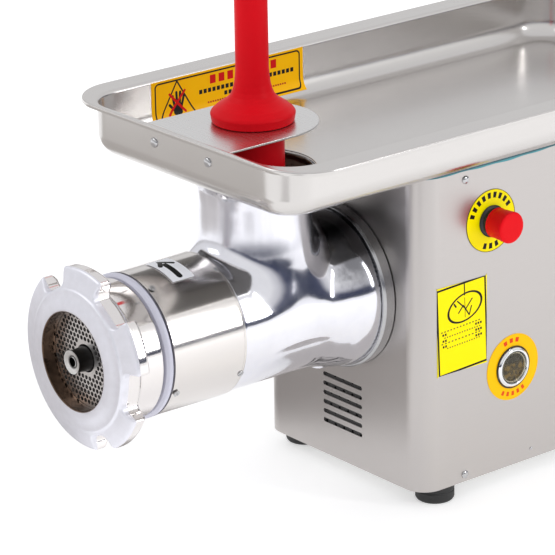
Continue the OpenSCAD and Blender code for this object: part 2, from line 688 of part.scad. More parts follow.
module mid_bearings() {
  color([0.62, 0.63, 0.65]) place() translate([0, 0, mid_z]) {
    bearing(23.5, 11.03, 12, 26);
    bearing(23.5, 11.03, gb_y1 - 7.4, gb_y1 + 6.2);
  }
}

// ---------- motor ----------
m0 = gb_y1 + 8.1; m1 = m0 + 20; m2 = m1 + 170; m3 = m2 + 18;
module motor_pinion() {
  color([0.52, 0.53, 0.55]) place() translate([0, 0, mot_z])
    rotate([0, 90 + 180 / z_a, 0]) gear(mod_1, z_a, 89, 113, 9.02);
}
module motor_shaft() {
  color([0.6, 0.6, 0.62]) place() translate([0, 0, mot_z]) union() {
    ycyl(9, 88, m0 + 6);
    ycyl(12.5, m0 + 4, m3 + 22);
  }
}
module motor_case() {
  color([0.22, 0.24, 0.27]) place() translate([0, 0, mot_z]) difference() {
    union() {
      ycyl(motor_r - 6, m1, m2);
      for (i = [0:23]) rotate([0, i * 15 + 7.5, 0]) box(motor_r - 8, motor_r, m1, m2, -1.2, 1.2);
      for (s = [-1, 1]) box(s > 0 ? 30 : -56, s > 0 ? 56 : -30, m1 + 20, m2 - 20, -mot_z + 2.2, -60);
    }
    ycyl(motor_r - 12, m1 - 1, m2 + 1);
  }
}
module motor_end(y0, y1, rb, yb0, yb1) {
  difference() {
    ycyl(motor_r - 3, y0, y1);
    ycyl(rb + 0.05, yb0, yb1);
    ycyl(14, y0 - 1, y1 + 1);
  }
}
module motor_end_front() {
  color([0.22, 0.24, 0.27]) place() translate([0, 0, mot_z])
    motor_end(m0, m1, 26, m1 - 15, m1 + 1);
}
module motor_end_rear() {
  color([0.22, 0.24, 0.27]) place() translate([0, 0, mot_z])
    motor_end(m2, m3, 26, m2 - 1, m2 + 14);
}
module motor_bearings() {
  color([0.62, 0.63, 0.65]) place() translate([0, 0, mot_z]) {
    bearing(26, 12.53, m1 - 15, m1);
    bearing(26, 12.53, m2, m2 + 14);
  }
}
module stator() {
  color([0.45, 0.40, 0.34]) place() translate([0, 0, mot_z]) difference() {
    union() {
      ring(motor_r - 12.05, 45.6, m1 + 26, m2 - 26);
      ring(66, 48, m1 + 10, m1 + 27);
      ring(66, 48, m2 - 27, m2 - 10);
    }
    for (i = [0:23]) rotate([0, i * 15, 0]) box(44, 58, m1 + 20, m2 - 20, -2, 2);
  }
}
module rotor() {
  color([0.55, 0.56, 0.58]) place() translate([0, 0, mot_z]) difference() {
    union() {
      ring(45, 12.52, m1 + 26, m2 - 26);
      ring(40, 26, m1 + 18, m1 + 27);
      ring(40, 26, m2 - 27, m2 - 18);
    }
  }
}
module fan() {
  color([0.12, 0.12, 0.13]) place() translate([0, 0, mot_z]) difference() {
    union() {
      ycyl(20, m3 + 3, m3 + 20);
      ycyl(52, m3 + 3, m3 + 5);
      for (i = [0:7]) rotate([0, i * 45, 0]) box(16, 70, m3 + 4, m3 + 19, -1.2, 1.2);
    }
    ycyl(12.53, m3, m3 + 30);
  }
}
module fan_cowl() {
  color([0.2, 0.21, 0.23]) place() translate([0, 0, mot_z]) difference() {
    ycyl(motor_r, m2 + 4, m3 + 30);
    ycyl(motor_r - 1.5, m2 + 3, m3 + 28.5);
    for (r = [22:11:66]) for (i = [0:floor(r / 3.2)]) rotate([0, i * 360 / (floor(r / 3.2) + 1), 0])
      ycyl(3.2, m3 + 20, m3 + 40, r, 0);
  }
}
module terminal_box() {
  color([0.16, 0.17, 0.19]) place() difference() {
    box(-40, 40, m1 + 40, m1 + 120, mot_z + motor_r + 0.3, mot_z + motor_r + 38);
    box(-37, 37, m1 + 43, m1 + 117, mot_z + motor_r + 3, mot_z + motor_r + 35);
  }
}

// ---------- controls, sight glass and labels ----------
module xring(ro, ri, x0, x1, y, z) {
  difference() { xcyl(ro, x0, x1, y, z); xcyl(ri, x0 - 1, x1 + 1, y, z); }
}
module sight_ring() {
  color([0.85, 0.86, 0.88]) place() union() {
    difference() {
      union() {
        xcyl(20.8, hx + 0.5, hx + 3.6, sight_y, sight_z);
        xcyl(16.8, hx - 3, hx + 1, sight_y, sight_z);
      }
      xcyl(13.4, hx - 10, hx + 6, sight_y, sight_z);
      xcyl(15.2, hx + 1.4, hx + 6, sight_y, sight_z);
    }
  }
}
module sight_glass() {
  color([0.75, 0.6, 0.2, 0.6]) place() xcyl(15.1, hx + 1.5, hx + 3.2, sight_y, sight_z);
}
module stop_collar() {
  color([0.06, 0.06, 0.06]) place() union() {
    difference() {
      union() {
        xcyl(15.2, hx + 1, hx + 3.2, stop_y, stop_z);
        xcyl(12.4, hx + 3.1, hx + 8.4, stop_y, stop_z);
        xcyl(11, hx - 12, hx + 1.2, stop_y, stop_z);
      }
      xcyl(8.06, hx - 20, hx + 20, stop_y, stop_z);
    }
  }
}
module stop_button() {
  color([0.85, 0.03, 0.05]) place() translate([hx, stop_y, stop_z]) rotate([0, 90, 0])
    rotate_extrude() polygon([[0, -12.5], [8, -12.5], [8, 14.4], [13.2, 14.4], [13.2, 8.5],
      [14.9, 8.5], [14.9, 27.2], [13.9, 28.4], [0, 29]]);
}
module stop_contacts() {
  color([0.75, 0.76, 0.72]) place() for (s = [-1, 1])
    box(s > 0 ? hx - 36 : -hx + 18.6, s > 0 ? hx - 18.6 : -hx + 36, stop_y - 15, stop_y + 15,
      stop_z - 20, stop_z + 20);
}
module selector() {
  color([0.08, 0.08, 0.08]) place() union() {
    xcyl(14, -hx - 6.4, -hx - 1.7, stop_y, stop_z);
    xcyl(8, -hx - 2, -hx + 12.5, stop_y, stop_z);
    box(-hx - 17, -hx - 5, stop_y - 3.2, stop_y + 3.2, stop_z - 13.4, stop_z + 13.4);
  }
}
module arc_label(a0, a1, y0, y1, r0, r1) {
  translate([0, y1, axis_h]) rotate([90, 0, 0]) linear_extrude(y1 - y0) difference() {
    intersection() {
      circle(r1);
      polygon([[0, 0], 90 * [cos(a0), sin(a0)], 95 * [cos((a0 + a1) / 2), sin((a0 + a1) / 2)],
        90 * [cos(a1), sin(a1)]]);
    }
    circle(r0);
  }
}
// section of a label stuck to the tray's far wall, from height z_top round the bottom edge by a
module wall_label(gap, lift, z_top, a) {
  r = tray_rb - sheet; c = [-tray_hw + tray_rb, tray_z + tray_rb];
  polygon(concat([[c[0] - r + gap, z_top]], arc_pts(c, r - gap, 180, 180 + a, 10),
    arc_pts(c, r - lift, 180 + a, 180, 10), [[c[0] - r + lift, z_top]]));
}
module labels() {
  color([0.96, 0.78, 0.05]) place() {
    // hand-protection label on the tray's inner far wall, bent round the bottom edge
    translate([0, 78, 0]) rotate([90, 0, 0]) linear_extrude(182.5)
      wall_label(0.05, 0.35, tray_z + 48.2, 46);
    // notice on the side of the housing
    translate([hx + 0.2, 49.4, 156.2]) rotate([2.2, 0, 0]) cube([0.3, 64, 89], center = true);
    // round legend plates behind the stop button, the sight glass and the selector
    xring(30, 11.2, hx + 0.05, hx + 0.8, stop_y, stop_z);
    xring(32.5, 17.2, hx + 0.05, hx + 0.4, sight_y, sight_z);
    xring(26, 11.2, -hx - 0.8, -hx - 0.05, stop_y, stop_z);
    // turning direction on the sleeve
    arc_label(64, 99, -217, -193, sleeve_r + 0.05, sleeve_r + 0.3);
  }
}
module cable_gland() {
  color([0.08, 0.08, 0.08]) place() difference() {
    union() {
      ycyl(8, body_l - 12, body_l + 4, -70, 40);
      translate([-70, body_l + sheet + 4.1, 40]) rotate([90, 0, 0]) cylinder(r = 12, h = 4, $fn = 6);
      ycyl(10, body_l + 5, body_l + 12, -70, 40);
      translate([-70, body_l - 0.2, 40]) rotate([90, 0, 0]) cylinder(r = 12, h = 5, $fn = 6);
    }
    ycyl(4.5, body_l - 20, body_l + 20, -70, 40);
  }
}

housing_shell();
top_deck();
base_plate();
rear_panel();
vent_insert();
feet();
foot_bolts();
housing_screws();
rear_screws();
tray();
tray_fixings();
guard_plate();
guard_screws();
guard_nuts();
pusher();
head_casting();
head_bush();
sleeve();
sleeve_screws();
collar_ring();
mounting_ring();
head_bolts();
ring_nut();
cutting_plate();
plate_key();
knife();
worm();
worm_stud();
thrust_washer();
gearbox_case();
gearbox_cover();
cover_screws();
oil_seal();
output_shaft();
output_gear();
output_bearings();
mid_shaft();
mid_pinion();
mid_gear();
mid_bearings();
motor_pinion();
motor_shaft();
motor_case();
motor_end_front();
motor_end_rear();
motor_bearings();
stator();
rotor();
fan();
fan_cowl();
terminal_box();
sight_ring();
sight_glass();
stop_collar();
stop_button();
stop_contacts();
selector();
labels();
cable_gland();
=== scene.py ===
# %% [markdown]
# # An electric meat grinder, finished around its CAD frame
#
# The CAD model already holds every working part at its true size. This script keeps
# that model as a fixed frame, remakes the pieces that catch the eye with softer edges and
# truer curves, and gives every piece a finish: brushed sheet, polished casting, red plastic.
# All lengths are worked out in millimetres and turned into metres at the last moment.

# %% Load the frame
import math

import bmesh
import bpy
import numpy as np
from mathutils import Matrix, Vector


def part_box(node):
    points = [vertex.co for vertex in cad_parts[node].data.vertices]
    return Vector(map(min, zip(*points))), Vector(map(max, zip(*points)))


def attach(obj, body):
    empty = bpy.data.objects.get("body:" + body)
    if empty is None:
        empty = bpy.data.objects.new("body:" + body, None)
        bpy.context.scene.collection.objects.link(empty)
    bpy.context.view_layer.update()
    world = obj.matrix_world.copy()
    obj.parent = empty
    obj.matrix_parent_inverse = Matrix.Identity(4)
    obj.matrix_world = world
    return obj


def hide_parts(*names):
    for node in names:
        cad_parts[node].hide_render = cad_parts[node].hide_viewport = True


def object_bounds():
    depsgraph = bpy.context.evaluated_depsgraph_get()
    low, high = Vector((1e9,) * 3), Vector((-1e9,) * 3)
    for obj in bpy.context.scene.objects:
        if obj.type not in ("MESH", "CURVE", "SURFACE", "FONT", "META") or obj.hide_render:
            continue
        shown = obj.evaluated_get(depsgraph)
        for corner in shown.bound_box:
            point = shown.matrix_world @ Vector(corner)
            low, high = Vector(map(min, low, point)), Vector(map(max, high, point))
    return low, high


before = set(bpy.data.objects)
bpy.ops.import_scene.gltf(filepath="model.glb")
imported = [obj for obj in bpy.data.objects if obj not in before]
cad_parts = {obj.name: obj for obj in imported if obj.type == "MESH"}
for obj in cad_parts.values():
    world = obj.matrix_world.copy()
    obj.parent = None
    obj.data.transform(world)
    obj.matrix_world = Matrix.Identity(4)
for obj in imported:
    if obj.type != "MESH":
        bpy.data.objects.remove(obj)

MM = 0.001
cad_low, cad_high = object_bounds()

# %% [markdown]
# ## Reading sizes from the frame
# Each CAD node's box says where its piece goes and how large it is, so a change of a driving
# size in the CAD moves the finished piece too. A few radii that no box shows are named
# values. A small class keeps such a box in millimetres and answers the questions a maker
# asks: edges, middle, widths.

# %% Boxes of the CAD nodes
class Span:
    """The box of a CAD node, in millimetres."""

    def __init__(self, node):
        low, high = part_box(node)
        self.x0, self.y0, self.z0 = (c / MM for c in low)
        self.x1, self.y1, self.z1 = (c / MM for c in high)
        self.x, self.y, self.z = ((c + d) / 2 / MM for c, d in zip(low, high))
        self.wide, self.deep, self.tall = ((d - c) / MM for c, d in zip(low, high))


housing = Span("housing_shell")
tray = Span("tray")
stud = Span("worm_stud")
nut = Span("ring_nut")
casting = Span("head_casting")
sleeve = Span("sleeve")
collar = Span("collar_ring")
mount = Span("mounting_ring")
plate = Span("cutting_plate")
guard = Span("guard_plate")
push = Span("pusher")
axis_z = stud.z
throat_y = push.y
side_x = housing.x1
open_r = 45.0  # the ring nut's opening
throat_r = 44.0  # the throat below its funnel
print("head axis at", round(axis_z, 1), "mm, throat centre at", round(throat_y, 1), "mm")

# %% [markdown]
# ## A small language for node trees
# Materials and Geometry Nodes are both graphs. Written node by node they are hard to read,
# so one class wraps a socket and lets Python's own operators add the Math nodes: `1 - mask`
# reads the way it works. Any other node comes from one method, `add`, which takes the type,
# the settings and the values or links of its sockets.

# %% Wires and graphs
class Wire:
    """One output socket. Arithmetic on wires adds Math nodes to their graph."""

    def __init__(self, graph, socket):
        self.graph, self.socket = graph, socket

    def _math(self, operation, first, second=None, third=None):
        values = {0: first}
        if second is not None:
            values[1] = second
        if third is not None:
            values[2] = third
        return self.graph.add("ShaderNodeMath", {"operation": operation}, values)

    def __add__(self, other):
        return self._math("ADD", self, other)

    def __sub__(self, other):
        return self._math("SUBTRACT", self, other)

    def __mul__(self, other):
        return self._math("MULTIPLY", self, other)

    def __truediv__(self, other):
        return self._math("DIVIDE", self, other)

    def __radd__(self, other):
        return self._math("ADD", other, self)

    def __rsub__(self, other):
        return self._math("SUBTRACT", other, self)

    def __rmul__(self, other):
        return self._math("MULTIPLY", other, self)

    def __rtruediv__(self, other):
        return self._math("DIVIDE", other, self)

    def __neg__(self):
        return self._math("MULTIPLY", self, -1.0)

    def __abs__(self):
        return self._math("ABSOLUTE", self)

    def root(self):
        return self._math("SQRT", self)

    def least(self, other):
        return self._math("MINIMUM", self, other)

    def most(self, other):
        return self._math("MAXIMUM", self, other)

    def angle_of(self, other):
        """The angle whose sine side is this wire and whose cosine side is the other."""
        return self._math("ARCTAN2", self, other)

    def clamp(self):
        return self.graph.add("ShaderNodeClamp", {}, {0: self})

    def step_up(self, start, end):
        """0 below start, 1 above end, smooth in between."""
        return self.graph.add(
            "ShaderNodeMapRange", {"interpolation_type": "SMOOTHSTEP"}, {0: self, 1: start, 2: end}
        )


class Graph:
    """A node tree that is written as expressions."""

    def __init__(self, tree):
        self.tree = tree

    def add(self, kind, settings=None, inputs=None, out=0):
        """Adds a node: its settings first, then its sockets, as values or wires."""
        node = self.tree.nodes.new(kind)
        for key, value in (settings or {}).items():
            if key == "stops":
                self._ramp(node.color_ramp, value)
            else:
                setattr(node, key, value)
        for key, value in (inputs or {}).items():
            socket = node.inputs[key]
            if isinstance(value, Wire):
                self.tree.links.new(value.socket, socket)
            else:
                socket.default_value = value
        self.last = node
        return Wire(self, node.outputs[out]) if len(node.outputs) else node

    def _ramp(self, ramp, stops):
        while len(ramp.elements) < len(stops):
            ramp.elements.new(1.0)
        for element, (place, colour) in zip(ramp.elements, stops):
            element.position = place
            element.color = (*colour, 1.0)

    def split(self, vector):
        """The three numbers of a vector."""
        self.add("ShaderNodeSeparateXYZ", {}, {0: vector})
        return [Wire(self, socket) for socket in self.last.outputs]

    def join(self, x, y, z):
        return self.add("ShaderNodeCombineXYZ", {}, {0: x, 1: y, 2: z})

    def mix(self, factor, first, second):
        """A colour between two colours."""
        return self.add(
            "ShaderNodeMix", {"data_type": "RGBA"}, {0: factor, 6: _four(first), 7: _four(second)}, out=2
        )


def _four(colour):
    return colour if isinstance(colour, Wire) else (*colour, 1.0)


# %% [markdown]
# ## A finish is a material with a few shared habits
# Every finish reads Object coordinates in millimetres, because the pieces sit at the
# origin and share one frame: a scratch is as wide on the tray as on the housing. What is
# the same all over a piece is a plain number on the shader; what changes over the surface
# goes to colour, roughness or the bump.

# %% The finish class
class Finish(Graph):
    """A material on one shader, with places and noises in millimetres."""

    def __init__(self, name, colour=(0.8, 0.8, 0.8), rough=0.5, metal=0.0, **constants):
        self.material = bpy.data.materials.new(name)
        self.material.use_nodes = True
        super().__init__(self.material.node_tree)
        self.tree.nodes.clear()
        shader = self.tree.nodes.new("ShaderNodeBsdfPrincipled")
        output = self.tree.nodes.new("ShaderNodeOutputMaterial")
        self.tree.links.new(shader.outputs[0], output.inputs[0])
        self.shader = shader
        self.set("Base Color", (*colour, 1.0))
        self.set("Roughness", rough)
        self.set("Metallic", metal)
        for key, value in constants.items():
            self.set(key.replace("_", " "), value)

    def set(self, name, value):
        if isinstance(value, Wire):
            self.tree.links.new(value.socket, self.shader.inputs[name])
        else:
            self.shader.inputs[name].default_value = value

    def place(self):
        """Where a point of the piece is, as a vector in millimetres."""
        spot = self.add("ShaderNodeTexCoord", {}, {}, out=3)
        return self.add("ShaderNodeVectorMath", {"operation": "SCALE"}, {0: spot, 3: 1.0 / MM})

    def noise(self, size, stretch=(1.0, 1.0, 1.0), detail=2.0, seed=0.0, rough=0.5):
        """Noise whose blotches are about `size` millimetres, longer where stretch is above 1."""
        scaled = self.add(
            "ShaderNodeVectorMath",
            {"operation": "MULTIPLY"},
            {0: self.place(), 1: tuple(1.0 / (size * s) for s in stretch)},
        )
        moved = self.add("ShaderNodeVectorMath", {"operation": "ADD"}, {0: scaled, 1: (seed, seed, seed)})
        return self.add("ShaderNodeTexNoise", {}, {"Vector": moved, "Scale": 1.0, "Detail": detail,
                                                   "Roughness": rough})

    def bump(self, height, depth, strength=1.0):
        """Raises the surface by `depth` millimetres where height is 1."""
        normal = self.add("ShaderNodeBump", {}, {"Height": height, "Distance": depth * MM,
                                                 "Strength": strength})
        self.set("Normal", normal)
        return normal


def tint(colour, factor):
    """A colour made lighter or darker."""
    return tuple(min(1.0, c * factor) for c in colour)


# %% [markdown]
# ## Brushed stainless sheet
# The housing and the tray are cut from sheet that was brushed in one direction at the mill.
# The brush leaves hair-thin parallel scratches, so the noise is stretched some fifty times
# longer than it is wide. A picture of scratches would need a layout for each piece and would
# repeat; noise in place needs neither. Handling adds wide, faint patches in the sheen.

# %% Brushed and satin steels
def brushed_steel(name, colour, rough, along=(1.0, 60.0, 1.0), grain=0.35, depth=0.012, shaded_below=None):
    """Hair-thin scratches along one axis; below the given height the colour is darkened to a fifth, painted
    shade for the tray's shadowed underside.
    """
    finish = Finish(name, colour, rough, 1.0)
    hair = finish.noise(grain, along, detail=3.0)
    patches = finish.noise(46.0, (1.0, 1.4, 1.0), detail=2.0, seed=3.1)
    brushed = finish.mix(hair, tint(colour, 0.96), tint(colour, 1.03))
    if shaded_below:
        # Painted shade: below this height the sheet's colour is darkened, standing for the shade under the
        # tray.
        _, _, height = finish.split(finish.place())
        brushed = finish.mix(height.step_up(shaded_below - 0.6, shaded_below), tint(colour, 0.2), brushed)
    finish.set("Base Color", brushed)
    finish.set("Roughness", rough - 0.05 + hair * 0.07 + patches * 0.05)
    finish.bump(hair, depth, 0.5)
    return finish.material


def turned_steel(name, colour, rough, ring=0.5, shaded_behind=None):
    """Machined steel: fine rings left by the lathe tool, and a film of oil in patches."""
    finish = Finish(name, colour, rough, 1.0)
    marks = finish.noise(ring, (6.0, 1.0, 6.0), detail=2.0)
    oil = finish.noise(14.0, detail=2.0, seed=7.0)
    face = finish.mix(oil, tint(colour, 0.8), tint(colour, 1.08))
    # Behind the given depth the colour goes nearly black: painted shade round the stud's sides.
    if shaded_behind:
        _, depth, _ = finish.split(finish.place())
        face = finish.mix(depth.step_up(shaded_behind, shaded_behind + 0.6), face, tint(colour, 0.09))
    finish.set("Base Color", face)
    finish.set("Roughness", rough - 0.06 + marks * 0.1 + oil * 0.05)
    finish.bump(marks, 0.01, 0.4)
    return finish.material


steel_sheet = brushed_steel("brushed_housing_sheet", (0.535, 0.507, 0.493), 0.34, (1.0, 50.0, 1.0))
# Below this height the tray's underside gets painted shade.
under_floor = tray.z0 + 1.0
tray_sheet = brushed_steel("brushed_tray_sheet", (0.64, 0.62, 0.605), 0.22, (1.0, 50.0, 1.0), 0.6, 0.003,
                           shaded_below=under_floor)
inner_sheet = brushed_steel("mill_finish_sheet", (0.52, 0.52, 0.51), 0.42, (50.0, 1.0, 1.0))
guard_sheet = brushed_steel("brushed_guard_plate", (0.70, 0.695, 0.69), 0.27, (60.0, 1.0, 1.0), 0.5, 0.002)
sleeve_sheet = brushed_steel("polished_sleeve_sheet", (0.73, 0.70, 0.68), 0.13, (1.0, 30.0, 1.0), 0.5, 0.004)
screw_steel = turned_steel("bright_screw_steel", (0.55, 0.55, 0.56), 0.16)
machined = turned_steel("machined_shaft_steel", (0.46, 0.47, 0.48), 0.3)
dark_plate_steel = turned_steel("ground_plate_steel", (0.82, 0.80, 0.79), 0.3)
stud_steel = turned_steel("turned_stud_steel", (0.72, 0.71, 0.70), 0.3, shaded_behind=stud.y0 + 1.2)
ring_steel = turned_steel("polished_ring_steel", (0.50, 0.50, 0.51), 0.2)
print("steels", [material.name for material in bpy.data.materials])

# %% [markdown]
# ## Cast aluminium, polished and plain
# The head is one casting that was polished by hand: a mirror, but not a flat one, so broad
# shallow waves bend the reflections. The ring nut's wide face was only turned and tumbled,
# so it is matt and pale, while its skirt was polished. Two materials on two sets of faces
# would do, but the border would be as jagged as the mesh. So one material does both: a mask
# on depth behind the face chooses between them.

# %% Aluminium finishes
funnel_low = 107.6  # above the worm's axis, where the throat widens upwards
funnel_tall = 20.0


def polished_casting(name, colour):
    """A hand-polished mirror with a brushed neck; the throat's inside and the metal by the housing under the
    tray are darkened as painted shade.
    """
    finish = Finish(name, colour, 0.1, 1.0)
    waves = finish.noise(24.0, detail=1.0, seed=1.7)
    haze = finish.noise(9.0, detail=3.0, seed=5.2)
    pits = finish.noise(0.8, detail=2.0, seed=9.0)
    x, y, z = finish.split(finish.place())
    up = z - axis_z
    on_neck = z.step_up(axis_z + 58, axis_z + 84)

    behind = y - throat_y
    throat_wall = ((up - funnel_low) / funnel_tall).clamp() * 7.6 + throat_r + 2.8
    inside = ((throat_wall - (x * x + behind * behind).root()) * 2.0 + 0.5).clamp()
    inside = inside * z.step_up(axis_z + 60, axis_z + 66)

    metal = finish.mix(haze, tint(colour, 0.94), tint(colour, 1.03))
    streak = finish.noise(7.0, (1.0, 1.0, 12.0), detail=2.0, seed=8.1)
    metal = finish.mix(on_neck, metal, finish.mix(streak, (0.70, 0.70, 0.76), (0.92, 0.92, 0.97)))
    # Painted shade: near the housing front and under the tray the metal is darkened, standing for the dark
    # gap that the mirror reflects.
    under_tray_shade = (y + haze * 24.0).step_up(housing.y0 - 55.5, housing.y0 - 23.5)
    under_tray_shade = under_tray_shade * (up + haze * 20.0).step_up(22, 52)
    metal = finish.mix(under_tray_shade * 0.8, metal, (0.08, 0.08, 0.09))
    # The throat's inside is coloured dark brown: painted shade in the hole.
    dark = finish.mix(haze, (0.03, 0.02, 0.016), (0.12, 0.085, 0.065))
    finish.set("Base Color", finish.mix(inside, metal, dark))
    finish.set("Roughness", 0.05 + haze * 0.09 + inside * 0.2 + on_neck * 0.14)
    drawn = finish.noise(5.0, (1.0, 1.0, 14.0), detail=2.0, seed=3.3) * on_neck
    finish.bump(waves + pits * 0.01 + drawn * 0.16, 0.5, 0.25)
    return finish.material


def nut_casting(name, colour, matt_until):
    """Matt in front of the plane y = matt_until, polished behind it and in the notches."""
    finish = Finish(name, colour, 0.4, 1.0)
    x, y, z = finish.split(finish.place())
    polish = y.step_up(matt_until, matt_until + 1.6)
    mottle = finish.noise(7.0, detail=4.0, seed=2.0)
    grain = finish.noise(0.5, detail=2.0, seed=4.0)
    up = z - axis_z
    bore = 1.0 - (x * x + up * up).root().step_up(open_r + 0.6, open_r + 1.6)
    face = finish.mix(mottle, tint(colour, 0.9), tint(colour, 1.04))
    metal = finish.mix(polish, face, (0.80, 0.77, 0.76))
    # Painted shade: the wall of the opening is coloured dark brown for the shade inside it.
    opening_shade = finish.mix(mottle, (0.05, 0.032, 0.022), (0.20, 0.13, 0.09))
    finish.set("Base Color", finish.mix(bore, metal, opening_shade))
    finish.set("Roughness", (1 - polish) * (0.42 + mottle * 0.12) + polish * 0.09 - bore * 0.2)
    finish.bump(grain * (1 - polish) + mottle * polish * 0.4, 0.05, 0.4)
    return finish.material


head_alu = polished_casting("polished_head_casting", (0.80, 0.80, 0.85))
nut_alu = nut_casting("ring_nut_casting", (0.82, 0.82, 0.88), nut.y0 + 12.0)
print("castings", head_alu.name, nut_alu.name)

# %% [markdown]
# ## Plastics, rubber, paint and the rest
# Moulded plastic is never quite smooth: a faint orange peel breaks up its highlights. Rubber
# is rougher, and its grey wanders more. Painted iron shows the sand mould's grain through
# the paint. One function covers them, with the grain, its depth and the gloss as arguments,
# because the difference is only in the numbers.

# %% Plastic, rubber and paint finishes
def moulded(name, colour, rough, grain=0.9, depth=0.02, vary=0.1, **constants):
    """A moulded or painted skin: `grain` is the peel's size, `vary` how much the colour wanders."""
    finish = Finish(name, colour, rough, 0.0, **constants)
    peel = finish.noise(grain, detail=2.0)
    wear = finish.noise(18.0, detail=3.0, seed=6.0)
    finish.set("Base Color", finish.mix(wear, tint(colour, 1 - vary), tint(colour, 1 + vary)))
    finish.set("Roughness", rough - 0.05 + wear * 0.1)
    finish.bump(peel, depth, 0.5)
    return finish.material


red_plastic = moulded("red_pusher_plastic", (0.72, 0.003, 0.010), 0.42, 1.6, 0.03, 0.06,
                      Specular_IOR_Level=0.08)
button_red = moulded("red_button_plastic", (0.82, 0.002, 0.008), 0.42, 0.8, 0.01, 0.04,
                     Specular_IOR_Level=0.1)
black_plastic = moulded("moulded_black", (0.018, 0.018, 0.019), 0.42)
grey_plastic = moulded("grey_contact_plastic", (0.42, 0.43, 0.41), 0.5)
collar_plastic = moulded("pale_collar_plastic", (0.62, 0.62, 0.72), 0.34, 1.2, 0.01, 0.03)
rubber = moulded("foot_rubber", (0.02, 0.02, 0.02), 0.6, 0.7, 0.05, 0.25)
iron_paint = moulded("painted_gear_case", (0.16, 0.18, 0.2), 0.45, 1.4, 0.12, 0.12)
motor_paint = moulded("painted_motor", (0.05, 0.06, 0.08), 0.4, 1.1, 0.08, 0.15)
winding = moulded("varnished_winding", (0.26, 0.1, 0.035), 0.35, 0.6, 0.2, 0.3)
fibre = moulded("fibre_washer", (0.45, 0.34, 0.2), 0.7, 0.5, 0.06, 0.2)
bronze = turned_steel("turned_bronze", (0.62, 0.38, 0.16), 0.3)
chrome = turned_steel("chrome_trim", (0.86, 0.87, 0.88), 0.07)
print("materials so far", len(bpy.data.materials))

# %% [markdown]
# ## Making and settling a piece
# A finished piece keeps its place in its mesh, in the same frame as the CAD. One function
# turns points and faces into an object, softens its shading, gives it a finish and tells
# the frame which body it rides on and which CAD nodes it stands for.

# %% From points to a settled piece
def linked(name, data):
    """An object on the data, in the scene."""
    obj = bpy.data.objects.new(name, data)
    bpy.context.scene.collection.objects.link(obj)
    return obj


def new_object(name, points, faces, smooth=True):
    """A mesh object from points in millimetres. Its faces are turned outwards."""
    mesh = bpy.data.meshes.new(name)
    mesh.from_pydata([tuple(c * MM for c in p) for p in points], [], [tuple(f) for f in faces])
    work = bmesh.new()
    work.from_mesh(mesh)
    bmesh.ops.remove_doubles(work, verts=work.verts, dist=1e-7)
    bmesh.ops.recalc_face_normals(work, faces=work.faces)
    work.to_mesh(mesh)
    work.free()
    if smooth:
        mesh.shade_smooth()
    return linked(name, mesh)


def weigh(obj):
    """Flat faces stay flat beside small round edges."""
    keep = obj.modifiers.new("weigh", "WEIGHTED_NORMAL")
    keep.keep_sharp = True
    return obj


def settle(obj, material, body, slot, *nodes):
    """Gives a piece its finish, its body and the CAD nodes that it stands for; the slot argument is not used.
    """
    if material is not None:
        obj.data.materials.clear()
        obj.data.materials.append(material)
    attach(obj, body)
    if nodes:
        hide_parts(*nodes)
    print("  ", obj.name, len(obj.data.polygons), "faces")
    return obj


def fuse(name, parts):
    """Several objects as one piece."""
    work = bmesh.new()
    for part in parts:
        work.from_mesh(part.data)
    mesh = bpy.data.meshes.new(name)
    work.to_mesh(mesh)
    work.free()
    for part in parts:
        bpy.data.objects.remove(part)
    return linked(name, mesh)


# %% [markdown]
# ## Turned pieces
# Rings, collars, knobs and the pusher are all turned shapes: a profile swung round an axis.
# A real edge is never sharp, so the profile's corners are first rounded by a small arc; that
# thin arc is what catches the light along an edge. The same arc trick rounds any outline.

# %% Rounded profiles and lathes
def rounded(points, radius, steps=3, closed=True):
    """The outline with each corner replaced by an arc; a point may carry its own radius."""
    made, count = [], len(points)
    for i, point in enumerate(points):
        here = Vector(point[:2])
        r = point[2] if len(point) > 2 else radius
        ends = not closed and i in (0, count - 1)
        before = Vector(points[i - 1][:2]) - here
        after = Vector(points[(i + 1) % count][:2]) - here
        if ends or r <= 0 or before.length < 1e-6 or after.length < 1e-6:
            made.append(tuple(here))
            continue
        half = before.angle(after) / 2
        if abs(math.pi / 2 - half) < 0.02:
            made.append(tuple(here))
            continue
        reach = min(r / math.tan(half), before.length * 0.49, after.length * 0.49)
        r = reach * math.tan(half)
        middle = here + (before.normalized() + after.normalized()).normalized() * (r / math.sin(half))
        start = here + before.normalized() * reach - middle
        sweep = math.pi - 2 * half
        turn = 1 if start.x * after.y - start.y * after.x > 0 else -1
        for k in range(steps + 1):
            a = turn * sweep * k / steps
            made.append((middle.x + start.x * math.cos(a) - start.y * math.sin(a),
                         middle.y + start.x * math.sin(a) + start.y * math.cos(a)))
    return made


AXES = {
    "X": lambda r, h, c, s: (h, r * c, r * s),
    "Y": lambda r, h, c, s: (r * s, h, r * c),
    "Z": lambda r, h, c, s: (r * c, r * s, h),
}


